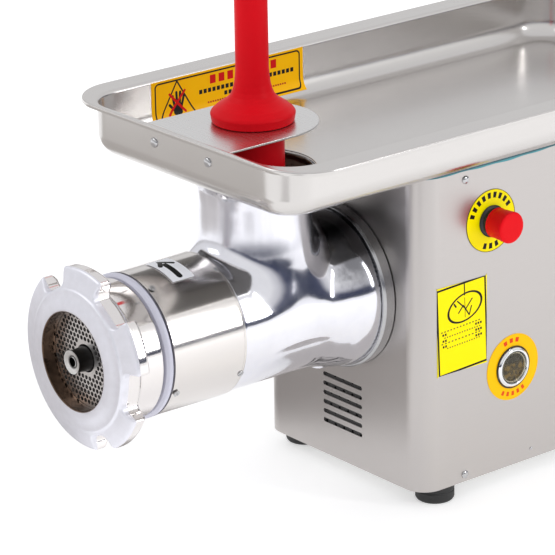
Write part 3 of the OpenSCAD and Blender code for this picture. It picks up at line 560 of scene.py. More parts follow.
def lathe(name, profile, axis, centre, radius=0.6, turns=128, closed=True, steps=3):
    """Swings a profile of (radius, height) round an axis through the centre point."""
    line = rounded(profile, radius, steps, closed)
    points, faces, rings = [], [], []
    for r, h in line:
        if r < 1e-6:
            rings.append([len(points)])
            points.append(tuple(a + b for a, b in zip(AXES[axis](0, h, 1, 0), centre)))
            continue
        rings.append(list(range(len(points), len(points) + turns)))
        for k in range(turns):
            a = 2 * math.pi * k / turns
            spot = AXES[axis](r, h, math.cos(a), math.sin(a))
            points.append(tuple(b + c for b, c in zip(spot, centre)))
    pairs = list(zip(rings, rings[1:]))
    if closed:
        pairs.append((rings[-1], rings[0]))
    for low, high in pairs:
        for k in range(turns):
            j = (k + 1) % turns
            if len(low) == 1 and len(high) > 1:
                faces.append((low[0], high[k], high[j]))
            elif len(high) == 1 and len(low) > 1:
                faces.append((low[k], low[j], high[0]))
            elif len(low) > 1:
                faces.append((low[k], low[j], high[j], high[k]))
    return weigh(new_object(name, points, faces))


print("lathe ready")

# %% [markdown]
# ## The red pusher
# It is one moulding: a shaft that fits the throat, a flange that rests on the guard plate,
# and a stem that flares into it like a trumpet. Cylinders with fillets could make it, but
# one profile gives every blend at once. It follows the flare with a few radii; the grip at
# the top is a soft bulb. The pusher lifts out, so it rides its own body.

# %% Pusher
shaft_r = 28.0
flange_r = push.wide / 2
stem_r = 15.1
shelf = guard.z1 + 0.4
bell = [(37.4, 10.0), (32.5, 14.4), (27.5, 17.6), (23.0, 21.0),
        (20.0, 24.6), (18.0, 29.0), (16.5, 35.0), (15.6, 42.0)]
grip = [(stem_r - 0.2, -46), (stem_r + 1, -38), (stem_r + 4.6, -30), (stem_r + 6, -22), (stem_r + 6, -14),
        (stem_r + 4, -6), (stem_r - 2, -1.2)]
pusher_line = [(0, push.z0), (shaft_r - 1, push.z0, 4), (shaft_r, push.z0 + 14, 2), (shaft_r, shelf, 0.6),
               (flange_r - 1.3, shelf, 1.6), (flange_r, shelf + 7.8, 2.2)]
pusher_line += [(r, shelf + h, 6) for r, h in bell]
pusher_line += [(stem_r, shelf + 50, 8)]
pusher_line += [(r, push.z1 + h, 9) for r, h in grip]
pusher_line += [(6, push.z1, 6), (0, push.z1)]
pusher = lathe("red_pusher", pusher_line, "Z", (0, throat_y, 0), closed=False, steps=5)
settle(pusher, red_plastic, "pusher", "red_plastic", "pusher")

# %% [markdown]
# ## Sleeve, collar and mounting ring
# A stainless jacket wraps the barrel between the collar ring and a thin bright bead. The
# pale collar is plastic with a crowned edge, and the steel ring behind the head's flange
# carries the whole head. Each is a short profile on the lathe, which keeps the three in
# line on the worm's axis.

# %% Turned rings on the head
def around_head(name, profile, **options):
    return lathe(name, profile, "Y", (0, 0, axis_z), **options)


sleeve_r = sleeve.wide / 2
sleeve_bore = 65.1
sleeve_front = sleeve.y0 - 1.5
bead_y = sleeve.y1 - 3.4
sleeve_piece = around_head("barrel_sleeve", [
    (sleeve_r, sleeve_front, 0.5), (sleeve_r, bead_y, 0.2), (sleeve_r - 0.7, bead_y + 0.5, 0.3),
    (sleeve_r - 0.1, bead_y + 1.3, 0.5), (sleeve_r - 0.1, sleeve.y1, 1.0), (sleeve_bore, sleeve.y1, 0.1),
    (sleeve_bore, sleeve_front, 0.1)], radius=0.3)
settle(sleeve_piece, sleeve_sheet, "machine", "steel_sheet", "sleeve")

collar_r = collar.wide / 2
collar_bore_r = 57.4
collar_back = collar.y1 - 2.2
collar_piece = around_head("pale_collar", [
    (collar_bore_r, collar.y0, 0.4), (60, collar.y0, 0.6), (60, collar.y0 + 1.7, 0.5),
    (collar_r - 2.6, collar.y0 + 2.0, 1.0), (collar_r, collar.y0 + 4.4, 2.6),
    (collar_r, collar_back, 1.2), (collar_bore_r, collar_back, 0.4)], steps=4)
settle(collar_piece, collar_plastic, "machine", "collar_plastic", "collar_ring")

mount_r = mount.wide / 2
mount_bore = 57.3
mount_piece = around_head("flange_ring", [
    (mount_bore, mount.y0, 0.4), (mount_r - 1.6, mount.y0, 1.1), (mount_r, mount.y0 + 2.2, 1.0),
    (mount_r, mount.y1, 0.7), (mount_bore, mount.y1, 0.4)])
settle(mount_piece, ring_steel, "machine", "ring_steel", "mounting_ring")

# %% [markdown]
# ## Castings from a distance field
# The head is a barrel and a neck that melt into each other, and the ring nut is a disc with
# notches whose every edge is soft. Bevels on such crossings break easily, so both are
# described by a distance field: a function that is negative inside the metal. Smooth
# minimum and maximum join and cut the simple shapes with a fillet. A net of quads is drawn
# round the zero level, each point is pulled onto it, and the field's slope gives the
# normals, so a polished surface reflects without ripples.

# %% Fields and the net that skins them
def melt(a, b, k):
    """The union of two fields with a fillet of about k millimetres."""
    h = np.clip(0.5 + 0.5 * (b - a) / k, 0, 1)
    return b * (1 - h) + a * h - k * h * (1 - h)


def carve(a, b, k):
    """Field a with field b cut out, its edge rounded."""
    return -melt(-a, b, k)


def keep_both(a, b, k):
    """What lies in both fields, its edge rounded."""
    return -melt(-a, -b, k)


def curve_through(points, samples=400):
    """A smooth function through a few points, as a table that np.interp reads."""
    xs, ys = (np.array(c, float) for c in zip(*points))
    slope = np.gradient(ys, xs)
    step = np.diff(ys) / np.diff(xs)
    for i in range(1, len(xs) - 1):
        if step[i - 1] * step[i] <= 0:
            slope[i] = 0
    t = np.linspace(xs[0], xs[-1], samples)
    k = np.clip(np.searchsorted(xs, t) - 1, 0, len(xs) - 2)
    w = xs[k + 1] - xs[k]
    u = (t - xs[k]) / w
    value = (ys[k] * (1 + 2 * u) * (1 - u) ** 2 + slope[k] * w * u * (1 - u) ** 2
             + ys[k + 1] * u * u * (3 - 2 * u) + slope[k + 1] * w * u * u * (u - 1))
    return lambda q: np.interp(q, t, value)


CORNERS = np.array([(i, j, k) for i in (0, 1) for j in (0, 1) for k in (0, 1)])
CELL_EDGES = [(a, b) for a in range(8) for b in range(a + 1, 8) if np.abs(CORNERS[a] - CORNERS[b]).sum() == 1]


def slope_of(field, p, h=0.04):
    """The field's slope at the points, from two samples along each axis."""
    sides = []
    for axis in range(3):
        ahead, behind = p.copy(), p.copy()
        ahead[:, axis] += h
        behind[:, axis] -= h
        sides.append((field(*ahead.T) - field(*behind.T)) / (2 * h))
    return np.stack(sides, 1)


def skin(name, field, low, high, step):
    """An object whose surface is the field's zero level inside the box, in millimetres."""
    lines = [np.arange(a, b + step, step) for a, b in zip(low, high)]
    value = field(*np.meshgrid(*lines, indexing="ij"))
    inside = value < 0
    size = [n - 1 for n in inside.shape]
    around = np.zeros(size, int)
    for i, j, k in CORNERS:
        around += inside[i:i + size[0], j:j + size[1], k:k + size[2]]
    cells = np.argwhere((around > 0) & (around < 8))
    corner = np.stack([value[tuple((cells + c).T)] for c in CORNERS], 1)
    total, crossed = np.zeros((len(cells), 3)), np.zeros(len(cells))
    for a, b in CELL_EDGES:
        va, vb = corner[:, a], corner[:, b]
        cut = (va < 0) != (vb < 0)
        t = np.where(cut, va / np.where(cut, va - vb, 1), 0)[:, None]
        total += np.where(cut[:, None], CORNERS[a] * (1 - t) + CORNERS[b] * t, 0)
        crossed += cut
    points = (cells + total / crossed[:, None]) * step + np.array([line[0] for line in lines])
    number = -np.ones(size, int)
    number[tuple(cells.T)] = np.arange(len(cells))
    faces = []
    for axis in range(3):
        b, c = (axis + 1) % 3, (axis + 2) % 3
        here = np.moveaxis(inside, (axis, b, c), (0, 1, 2))
        grid = np.moveaxis(number, (axis, b, c), (0, 1, 2))
        change = here[:-1, 1:-1, 1:-1] != here[1:, 1:-1, 1:-1]
        i, j, k = np.nonzero(change)
        quad = np.stack([grid[i, j, k], grid[i, j + 1, k], grid[i, j + 1, k + 1], grid[i, j, k + 1]], 1)
        leaves = here[:-1, 1:-1, 1:-1][change]
        faces.append(np.where(leaves[:, None], quad, quad[:, ::-1]))
    faces = np.concatenate(faces)
    for _ in range(5):
        slope = slope_of(field, points)
        size2 = np.maximum((slope ** 2).sum(1), 0.05)
        move = slope * (field(*points.T) / size2)[:, None]
        points -= np.clip(move, -step, step)
    mesh = bpy.data.meshes.new(name)
    mesh.from_pydata((points * MM).tolist(), [], faces.tolist())
    mesh.shade_smooth()
    slope = slope_of(field, points)
    mesh.normals_split_custom_set_from_vertices((slope / np.linalg.norm(slope, axis=1)[:, None]).tolist())
    return linked(name, mesh)


# %% [markdown]
# ## The head casting
# The barrel runs along the machine, flares at the back into a bolted flange, and the neck
# rises from it to the tray. Its bore holds the worm; the throat comes down through the
# neck. A small drain lug hangs under the flare.

# %% Head casting
barrel_line = curve_through([(-246, 65), (sleeve.y0 - housing.y0, 65), (-164, 65.2), (-150, 65.8),
                             (-78, 66.4), (-58, 67.6), (-42, 70.6), (-31, 73.4), (-22, 74.8), (-12, 75)])
neck_line = curve_through([(-10, 62), (20, 61.5), (45, 59), (66, 55), (85, 51.8), (100, 51.2), (112, 51.4),
                           (120, 52.6), (126, 55.4), (129, 56.8), (136, 56.8)])
back_y = casting.y1
neck_top = casting.z1 - axis_z
spigot_r = 57.0
worm_bore = 48.5
seat_r = 49.7


def head_field(x, y, z):
    """Negative inside the head's metal; x, y, z in millimetres."""
    depth, up = y - (back_y + 13), z - axis_z
    from_axis = np.sqrt(x * x + up * up)
    from_throat = np.sqrt(x * x + (y - throat_y) ** 2)
    barrel = keep_both(from_axis - barrel_line(depth), np.abs(depth + 128.2) - 115.2, 1.2)
    spigot = keep_both(from_axis - spigot_r, np.abs(depth + 220) - 71.5, 1.0)
    neck = keep_both(from_throat - neck_line(up), np.abs(up - neck_top / 2 + 5) - neck_top / 2 - 5, 1.6)
    lug = keep_both(np.sqrt(x * x + (depth + 27) ** 2) - 8, np.abs(up + 63.5) - 13.5, 2.0)
    solid = melt(melt(melt(barrel, spigot, 0.8), neck, 13.0), lug, 5.0)
    shoulder = np.minimum(sleeve.y1 + 0.2 - y, from_axis - sleeve_bore)
    solid = keep_both(solid, shoulder, 0.8)
    bore = np.maximum(from_axis - worm_bore, depth + 46)
    seat = np.maximum(from_axis - seat_r, depth + 283.3)
    shaft = np.maximum(from_axis - 24, depth + 8)
    mouth = throat_r + np.clip((up - neck_top + 25.6) / 20, 0, 1) * 9.2
    throat = np.maximum(from_throat - mouth, -up)
    hollow = np.minimum(np.minimum(bore, seat), np.minimum(shaft, throat))
    return carve(solid, hollow, 1.4)


head_low = (-82, casting.y0 - 3, axis_z - 84)
head_high = (82, back_y + 3, casting.z1 + 3)
head = skin("polished_head", head_field, head_low, head_high, 2.0)
settle(head, head_alu, "machine", "cast_alu", "head_casting")

# %% [markdown]
# ## The ring nut
# Its face slopes back from the opening to the lobes, four notches take the wrench, and a
# polished skirt carries the thread. One side is left smooth. The notch is a slot with round
# corners that widens outwards, so each lobe ends in a small hook.

# %% Ring nut
lobe_r = 84.0
skirt_r = 64.4
face_line = curve_through([(40, 0), (46.5, 0), (50, 0.5), (63, 4.6), (76, 8.2), (82, 10.2), (88, 13.2)])
# each notch: its angle in degrees, the radius of its floor, half its width
NOTCHES = ((119.5, 66.2, 17.0), (54.0, 65.2, 19.5), (-10.5, 65.2, 20.5), (-70.0, 69.0, 12.0))
notch_corner = 7.0


def notch_field(x, up, angle, floor_r, half_w):
    """Negative in an open notch that widens outwards and has round inner corners."""
    a = math.radians(angle)
    along = x * math.cos(a) + up * math.sin(a)
    across = np.abs(up * math.cos(a) - x * math.sin(a))
    flare = np.clip(along - floor_r - notch_corner, 0, None) * 0.22
    u = floor_r + notch_corner - along
    v = across - flare - half_w + notch_corner
    outside = np.sqrt(np.clip(u, 0, None) ** 2 + np.clip(v, 0, None) ** 2)
    return outside + np.minimum(np.maximum(u, v), 0) - notch_corner


def nut_field(x, y, z):
    """Negative inside the ring nut's metal."""
    depth, up = y - nut.y0, z - axis_z
    r = np.sqrt(x * x + up * up)
    outline = r - lobe_r
    for notch in NOTCHES:
        outline = carve(outline, notch_field(x, up, *notch), 2.6)
    slab = keep_both(face_line(r) - depth, depth - 25.6 + np.clip(r - 78, 0, None) * 0.5, 2.0)
    star = keep_both(outline, slab, 2.2)
    skirt = keep_both(r - skirt_r, np.abs(depth - 28.4) - 24.0, 1.2)
    solid = melt(star, skirt, 2.5)
    seat = np.maximum(r - 50.1, 14.4 - depth)
    thread = np.maximum(r - 57.1, 16.1 - depth)
    hollow = np.minimum(np.minimum(r - open_r, seat), thread)
    return carve(solid, hollow, 1.2)


box_r = lobe_r + 2.5
ring_nut = skin("lobed_ring_nut", nut_field, (-box_r, nut.y0 - 2, axis_z - box_r),
                (box_r, nut.y1 + 2, axis_z + box_r), 1.15)
settle(ring_nut, nut_alu, "ring", "nut_alu", "ring_nut")

# %% [markdown]
# ## The meat tray
# A pan pressed from one sheet: floor, round bottom edge, walls, and a rim that is wide at
# the sides and narrow in front. A bevelled box with a wall thickness would need a cut for
# the throat. Here its section is walked once, from the throat hole out under the floor, up
# the wall, round the rim and back inside. At each step of that walk a loop with round
# corners is laid down, and neighbouring loops are joined by quads, so nothing is cut.

# %% Tray
sheet_t = 1.5
wall_hw = 146.0  # half the width between the walls
wall_r = 37.0  # round corners of the walls, seen from above
rim_r = 48.0
bottom_r = 20.0  # round edge between floor and wall
wall_front = tray.y0 + 5.0
wall_back = tray.y1 - 24.8
tray_hole_r = 56.5


def tray_loop(offset, z, base="wall", gap=6.0, corner_steps=14):
    """A loop with round corners, moved outwards by offset from the wall or the rim line."""
    if base == "wall":
        x, y0, y1, r = wall_hw, wall_front, wall_back, wall_r
    else:
        x, y0, y1, r = tray.x1, tray.y0, tray.y1, rim_r
    core_x, core_y0, core_y1, r = x - r, y0 + r, y1 - r, r + offset
    corners = ((core_x, core_y0, -90), (core_x, core_y1, 0), (-core_x, core_y1, 90), (-core_x, core_y0, 180))
    loop = []
    for i, (cx, cy, start) in enumerate(corners):
        for k in range(corner_steps + 1):
            a = math.radians(start + 90 * k / corner_steps)
            loop.append((cx + r * math.cos(a), cy + r * math.sin(a), z))
        nx, ny, _ = corners[(i + 1) % 4]
        a = math.radians(start + 90)
        steps = max(1, round((wall_hw * 2 if i % 2 else wall_back - wall_front) / gap))
        ox, oy = r * math.cos(a), r * math.sin(a)
        for k in range(1, steps):
            t = k / steps
            loop.append((cx + (nx - cx) * t + ox, cy + (ny - cy) * t + oy, z))
    return loop


def hole_loop(loop, centre, r, z):
    """The points of a loop drawn in to a circle round the centre."""
    made = []
    for x, y, _ in loop:
        a = math.atan2(y - centre[1], x - centre[0])
        made.append((centre[0] + r * math.cos(a), centre[1] + r * math.sin(a), z))
    return made


def join_loops(name, loops, closed=True):
    """Quads between neighbouring loops, which have the same number of points."""
    count = len(loops[0])
    points = [p for loop in loops for p in loop]
    faces = []
    for i in range(len(loops) if closed else len(loops) - 1):
        low, high = i * count, (i + 1) % len(loops) * count
        for k in range(count):
            j = (k + 1) % count
            faces.append((low + k, low + j, high + j, high + k))
    return new_object(name, points, faces)


def arc(centre, r, start, end, steps=8):
    """Points of an arc in a section, as (offset, height)."""
    angles = [math.radians(start + (end - start) * k / steps) for k in range(steps + 1)]
    return [(centre[0] + r * math.cos(a), centre[1] + r * math.sin(a)) for a in angles]


low_z = tray.z0
top_z = tray.z1
floor_z = low_z + sheet_t
fold_r = 2.2
corner_c = (-bottom_r, low_z + bottom_r)
walls_out = arc(corner_c, bottom_r, -90, 0) + arc((fold_r, top_z - sheet_t - fold_r), fold_r, 180, 90, 5)
walls_in = (arc((fold_r, top_z - sheet_t - fold_r), fold_r + sheet_t, 90, 180, 6)
            + arc(corner_c, bottom_r - sheet_t, 0, -90))
lip = [(-1.4, top_z - sheet_t), (-1.4, top_z - 4.2), (-0.7, top_z - 4.5), (0, top_z - 4.2)]
lip += arc((-1.6, top_z - 1.6), 1.6, 0, 90, 5)
throat_at = (0, throat_y)
rim_base = tray_loop(-bottom_r, low_z)
tray_loops = [hole_loop(rim_base, throat_at, tray_hole_r, low_z + 0.4),
              hole_loop(rim_base, throat_at, tray_hole_r + 0.4, low_z)]
tray_loops += [tray_loop(o, z) for o, z in walls_out]
tray_loops += [tray_loop(o, z, "rim") for o, z in lip]
tray_loops += [tray_loop(o, z) for o, z in walls_in]
tray_loops += [hole_loop(rim_base, throat_at, tray_hole_r + 0.4, floor_z),
               hole_loop(rim_base, throat_at, tray_hole_r, floor_z - 0.4)]
tray_piece = weigh(join_loops("meat_tray", tray_loops))
settle(tray_piece, tray_sheet, "machine", "tray_steel", "tray")

# %% [markdown]
# ### Weld studs under the tray
# Four studs are welded under the floor and go through the deck into nuts, so no screw shows
# in the pan. A bolt from above would be simpler, but meat would catch on its head. One
# profile holds both stud and nut, and the lathe makes it four times.

# %% Weld studs
fixings = Span("tray_fixings")
stud_half, nut_half = 3, 5.8
nut_low, nut_top = fixings.z0 + 2, fixings.z0 + 7
weld_z = low_z + 0.9
stud_line = [(0, fixings.z0), (stud_half, fixings.z0, 0.6), (stud_half, nut_low, 0.1),
             (nut_half, nut_low, 0.8), (nut_half, nut_top, 0.8), (stud_half, nut_top, 0.1),
             (stud_half, weld_z, 0.2), (0, weld_z)]
inset = 6.5
stud_parts = [lathe("stud", stud_line, "Z", (s * (fixings.x1 - inset), y, 0), turns=24, closed=False)
              for s in (-1, 1) for y in (fixings.y0 + inset, fixings.y1 - inset)]
settle(fuse("tray_studs", stud_parts), screw_steel, "machine", "screws", "tray_fixings")

# %% [markdown]
# ## Guard plate
# A two-millimetre strip with a round end lies over the throat, so that no hand can reach
# the worm. The outline and the hole are again two loops with the same number of points,
# because a cut would leave thin slivers round the hole that show in a polished sheet. In
# front the strip folds down and is screwed to the tray's wall.

# %% Guard plate
guard_r = guard.wide / 2
guard_hole = 28.6
guard_t = 2.0


def guard_loop(offset, z, straight=40, round_steps=64):
    """The strip's outline, moved outwards by offset: straight sides and a round end."""
    front, r = guard.y0 + 1.2 - offset, guard_r + offset
    loop = [(-r + 2 * r * k / straight, front, z) for k in range(straight)]
    loop += [(r, front + (throat_y - front) * k / straight, z) for k in range(straight)]
    for k in range(round_steps):
        a = math.pi * k / round_steps
        loop.append((r * math.cos(a), throat_y + r * math.sin(a), z))
    loop += [(-r, throat_y + (front - throat_y) * k / straight, z) for k in range(straight)]
    return loop


base = guard_loop(0, 0)
top, edge = guard.z1, 0.35
flat = [hole_loop(base, throat_at, guard_hole + edge, top - guard_t), guard_loop(-edge, top - guard_t),
        guard_loop(0, top - guard_t + edge), guard_loop(0, top - edge), guard_loop(-edge, top),
        hole_loop(base, throat_at, guard_hole + edge, top),
        hole_loop(base, throat_at, guard_hole, top - edge),
        hole_loop(base, throat_at, guard_hole, top - guard_t + edge)]
strip = join_loops("strip", flat)
fold = [(guard.y0 + 2.6, top), (guard.y0 + 1.0, top - 0.3), (guard.y0 + 0.2, top - 1.2),
        (guard.y0, top - 2.4), (guard.y0, guard.z0), (guard.y0 + guard_t, guard.z0),
        (guard.y0 + guard_t, top - 2.6), (guard.y0 + 2.6, top - guard_t)]
tab_points = [(side * guard_r, y, z) for side in (-1, 1) for y, z in fold]
count = len(fold)
tab_faces = [tuple(range(count)), tuple(range(2 * count - 1, count - 1, -1))]
tab_faces += [(k, (k + 1) % count, (k + 1) % count + count, k + count) for k in range(count)]
tab = new_object("tab", tab_points, tab_faces)
guard_piece = fuse("throat_guard", [strip, tab])
guard_piece.data.set_sharp_from_angle(angle=math.radians(50))
weigh(guard_piece)
settle(guard_piece, guard_sheet, "machine", "tray_steel", "guard_plate")

# %% [markdown]
# ## Geometry Nodes: growing what repeats
# The plate's holes and the screws repeat, so each kind is grown by a small node tree with
# named sizes. They could be copied by a Python loop, but a tree shows the rule as a graph
# and is quick to change. `Growth` builds the tree with the same expressions as a material,
# and `grow` runs it once and keeps the plain mesh, because the exported model holds no
# instances.

# %% Node trees that make geometry
SOCKETS = {float: "NodeSocketFloat", int: "NodeSocketInt", object: "NodeSocketObject",
           bpy.types.Material: "NodeSocketMaterial"}


class Growth(Graph):
    """A Geometry Nodes tree with named inputs."""

    def __init__(self, name, inputs):
        tree = bpy.data.node_groups.new(name, "GeometryNodeTree")
        super().__init__(tree)
        tree.interface.new_socket("Geometry", in_out="INPUT", socket_type="NodeSocketGeometry")
        for label, kind in inputs.items():
            tree.interface.new_socket(label, in_out="INPUT", socket_type=SOCKETS[kind])
        tree.interface.new_socket("Geometry", in_out="OUTPUT", socket_type="NodeSocketGeometry")
        entry = tree.nodes.new("NodeGroupInput")
        self.inputs = {socket.name: Wire(self, socket) for socket in entry.outputs if socket.name}
        self.exit = tree.nodes.new("NodeGroupOutput")

    def finish(self, geometry):
        """Instances become mesh, the material goes on, and the tree ends."""
        real = self.add("GeometryNodeRealizeInstances", {}, {0: geometry})
        done = self.add("GeometryNodeSetMaterial", {},
                        {"Geometry": real, "Material": self.inputs["Material"]})
        self.tree.links.new(done.socket, self.exit.inputs[0])
        return self.tree

    def join_all(self, *parts):
        node = self.tree.nodes.new("GeometryNodeJoinGeometry")
        for part in parts:
            self.tree.links.new(part.socket, node.inputs[0])
        return Wire(self, node.outputs[0])


def grow(name, tree, source=None, **values):
    """Runs a tree on a host mesh and returns its result as a plain mesh object."""
    host = linked(name + "_host", source or bpy.data.meshes.new(name + "_host"))
    modifier = host.modifiers.new("grow", "NODES")
    modifier.node_group = tree
    labels = {key.replace("_", " "): value for key, value in values.items()}
    for item in tree.interface.items_tree:
        if item.item_type == "SOCKET" and item.in_out == "INPUT" and item.name in labels:
            modifier[item.identifier] = labels[item.name]
    host.update_tag()
    depsgraph = bpy.context.evaluated_depsgraph_get()
    mesh = bpy.data.meshes.new_from_object(host.evaluated_get(depsgraph), depsgraph=depsgraph)
    bpy.data.objects.remove(host)
    return linked(name, mesh)


# %% [markdown]
# ## Perforated cutting plate
# The minced meat leaves through this plate. Its holes sit on a hexagonal pattern. Cutting
# them one by one from a disc is slow and fragile, so the tree draws them instead: it starts
# from a square grid of points, shifts every second row by half a pitch, drops the points too
# near the stud or the rim, puts a circle on each, fills the sheet between the circles and
# pulls it to its thickness.

# %% Cutting plate tree
plate_sizes = ("Radius", "Stud Radius", "Hole Radius", "Pitch", "Thickness", "Inner Edge", "Outer Edge")
plate_inputs = {label: float for label in plate_sizes}
plate_inputs["Material"] = bpy.types.Material
holes = Growth("perforated_plate", plate_inputs)
size = holes.inputs
row_gap = size["Pitch"] * math.sqrt(0.75)
gaps = 20
grid = holes.add("GeometryNodeMeshGrid", {}, {"Size X": size["Pitch"] * gaps, "Size Y": row_gap * gaps,
                                              "Vertices X": gaps + 1, "Vertices Y": gaps + 1})
spot = holes.add("GeometryNodeInputPosition")
_, py, _ = holes.split(spot)
row = holes.add("ShaderNodeMath", {"operation": "ROUND"}, {0: py / row_gap})
odd = abs(holes.add("ShaderNodeMath", {"operation": "MODULO"}, {0: row, 1: 2.0}))
half_step = holes.join(odd * size["Pitch"] / 2, 0.0, 0.0)
shifted = holes.add("GeometryNodeSetPosition", {}, {"Geometry": grid, "Offset": half_step})
reach = holes.add("ShaderNodeVectorMath", {"operation": "LENGTH"}, {0: spot}, out=1)
near = holes.add("FunctionNodeCompare", {"operation": "LESS_THAN"}, {0: reach, 1: size["Inner Edge"]})
far = holes.add("FunctionNodeCompare", {"operation": "GREATER_THAN"}, {0: reach, 1: size["Outer Edge"]})
outside = holes.add("FunctionNodeBooleanMath", {"operation": "OR"}, {0: near, 1: far})
kept = holes.add("GeometryNodeDeleteGeometry", {}, {"Geometry": shifted, "Selection": outside})
drill = holes.add("GeometryNodeCurvePrimitiveCircle", {}, {"Resolution": 12, "Radius": size["Hole Radius"]})
drilled = holes.add("GeometryNodeRealizeInstances", {}, {0: holes.add(
    "GeometryNodeInstanceOnPoints", {}, {"Points": kept, "Instance": drill})})
rim = holes.add("GeometryNodeCurvePrimitiveCircle", {}, {"Resolution": 96, "Radius": size["Radius"]})
bore = holes.add("GeometryNodeCurvePrimitiveCircle", {}, {"Resolution": 48, "Radius": size["Stud Radius"]})
sheet = holes.add("GeometryNodeFillCurve", {}, {0: holes.join_all(drilled, rim, bore)})
raised = holes.add("GeometryNodeExtrudeMesh", {}, {"Mesh": sheet, "Offset Scale": size["Thickness"],
                                                   "Individual": False})
back = holes.add("GeometryNodeFlipFaces", {}, {0: sheet})
closed_plate = holes.add("GeometryNodeMergeByDistance", {}, {"Geometry": holes.join_all(raised, back),
                                                             "Distance": 0.000001})
holes.finish(closed_plate)

cutting = grow("hole_plate", holes.tree, Radius=plate.wide / 2 * MM, Stud_Radius=(stud.wide / 2 + 0.06) * MM,
               Hole_Radius=2.05 * MM, Pitch=5.2 * MM, Thickness=plate.deep * MM,
               Inner_Edge=(stud.wide / 2 + 4.6) * MM, Outer_Edge=(plate.wide / 2 - 5.2) * MM,
               Material=dark_plate_steel)
for vertex in cutting.data.vertices:
    x, y, z = vertex.co
    vertex.co = (x, plate.y1 * MM - z, axis_z * MM + y)
settle(cutting, dark_plate_steel, "machine", "machined_steel", "cutting_plate")

# %% [markdown]
# ### The worm's stud
# The worm ends in a turned stud that runs in the plate's middle hole. It has a centre hole
# from the lathe and turns with the worm, so it is a piece of its own on the worm's body.
# Its flat end is bright; the sides behind it are painted nearly black as painted shade.

# %% Stud in the middle of the plate
stud_r = stud.wide / 2
centre_hole = 4.4
tail_r = 6.1
knife_end = plate.y1 + 0.15
stud_piece = lathe("stud_end", [
    (0, stud.y0 + 12), (centre_hole, stud.y0 + 10, 0.3), (centre_hole, stud.y0, 0.9), (stud_r, stud.y0, 1.5),
    (stud_r, knife_end, 0.3), (tail_r, knife_end, 0.3), (tail_r, stud.y1, 0.8), (0, stud.y1)],
    "Y", (0, 0, axis_z), turns=64, closed=False)
settle(stud_piece, stud_steel, "worm_drive", "machined_steel", "worm_stud")

# %% [markdown]
# ## Screws on points
# The sheets are held by dome-head screws, the sleeve by small slotted ones. Copies placed by
# hand would have to be moved by hand too, so one tree sets any head on a list of points.
# Each point carries the way its screw faces and its size; a random turn with a fixed seed
# keeps the slots from lining up, as they never do on a real machine.

# %% Screw tree and heads
setter = Growth("screws_on_points", {"Head": object, "Material": bpy.types.Material})
facing = setter.add("GeometryNodeInputNamedAttribute", {"data_type": "FLOAT_VECTOR"}, {"Name": "facing"})
scale = setter.add("GeometryNodeInputNamedAttribute", {"data_type": "FLOAT"}, {"Name": "scale"})
head_shape = setter.add("GeometryNodeObjectInfo", {"transform_space": "ORIGINAL"},
                        {"Object": setter.inputs["Head"]}, out=4)
aim = setter.add("FunctionNodeAlignRotationToVector", {"axis": "Z"}, {"Vector": facing})
turn = setter.add("FunctionNodeRandomValue", {"data_type": "FLOAT"}, {2: 0.0, 3: 3.14159, "Seed": 7}, out=1)
spin = setter.add("FunctionNodeAxisAngleToRotation", {}, {"Axis": (0.0, 0.0, 1.0), "Angle": turn})
turned_aim = setter.add("FunctionNodeRotateRotation", {"rotation_space": "LOCAL"}, {0: aim, 1: spin})
planted = setter.add("GeometryNodeInstanceOnPoints", {}, {"Points": setter.inputs["Geometry"],
                                                          "Instance": head_shape, "Rotation": turned_aim,
                                                          "Scale": scale})
setter.finish(planted)


def screw_set(name, head, spots, node, slot="screws", material=screw_steel):
    """Plants a head on spots of (x, y, z, facing, scale), in millimetres, for one node."""
    mesh = bpy.data.meshes.new(name + "_spots")
    mesh.from_pydata([tuple(c * MM for c in s[:3]) for s in spots], [], [])
    mesh.attributes.new("facing", "FLOAT_VECTOR", "POINT")
    mesh.attributes.new("scale", "FLOAT", "POINT")
    for i, s in enumerate(spots):
        mesh.attributes["facing"].data[i].vector = s[3]
        mesh.attributes["scale"].data[i].value = s[4]
    made = grow(name, setter.tree, mesh, Head=head, Material=material)
    return settle(made, material, "machine", slot, node)


def dome_head(r, height):
    """A low dome on a thin flange; it is made small and scaled at each point."""
    line = [(0, -0.6), (r * 0.98, -0.6)]
    bow = (0, 0.25, 0.5, 0.75, 1.0, 1.2, 1.4)
    line += [(r * math.cos(a), height * (0.18 + 0.82 * math.sin(a))) for a in bow]
    line += [(0, height)]
    return lathe("dome_head", line, "Z", (0, 0, 0), radius=0, turns=24, closed=False)


def slotted_head(r, height, slot):
    """A flat head with a screwdriver slot, from a field."""
    def field(x, y, z):
        disc = keep_both(np.sqrt(x * x + y * y) - r, np.abs(z - height / 2) - height / 2, 0.25)
        return carve(disc, np.maximum(np.abs(y) - slot / 2, 0.35 * height - z), 0.15)
    return skin("slotted_head", field, (-r - 0.6, -r - 0.6, -0.6), (r + 0.6, r + 0.6, height + 0.6), 0.3)


dome = dome_head(1.0, 0.55)
slotted = slotted_head(3.1, 1.0, 0.8)
shell_screws = Span("housing_screws")
wall_screws = Span("guard_screws")
rear_span = Span("rear_screws")
dome_r, rivet_r, guard_head_r, rear_r = 3.9, 1.7, 4.6, 3.4
ends = [(y, z) for y in (shell_screws.y0 + dome_r, shell_screws.y1 - dome_r)
        for z in (shell_screws.z0 + dome_r, shell_screws.z1 - dome_r)]
sides = [(s * side_x, y, z, (s, 0, 0), dome_r) for s in (-1, 1) for y, z in ends]
sides += [(s * side_x, housing.y0 + 137.7, housing.z0 + 10.2, (s, 0, 0), rivet_r) for s in (-1, 1)]
screw_set("side_screw_heads", dome, sides, "housing_screws")
front = [(x, wall_front, wall_screws.z, (0, -1, 0), guard_head_r)
         for x in (wall_screws.x0 + guard_head_r, wall_screws.x1 - guard_head_r)]
screw_set("guard_screw_heads", dome, front, "guard_screws")
panel_y = Span("rear_panel").y1
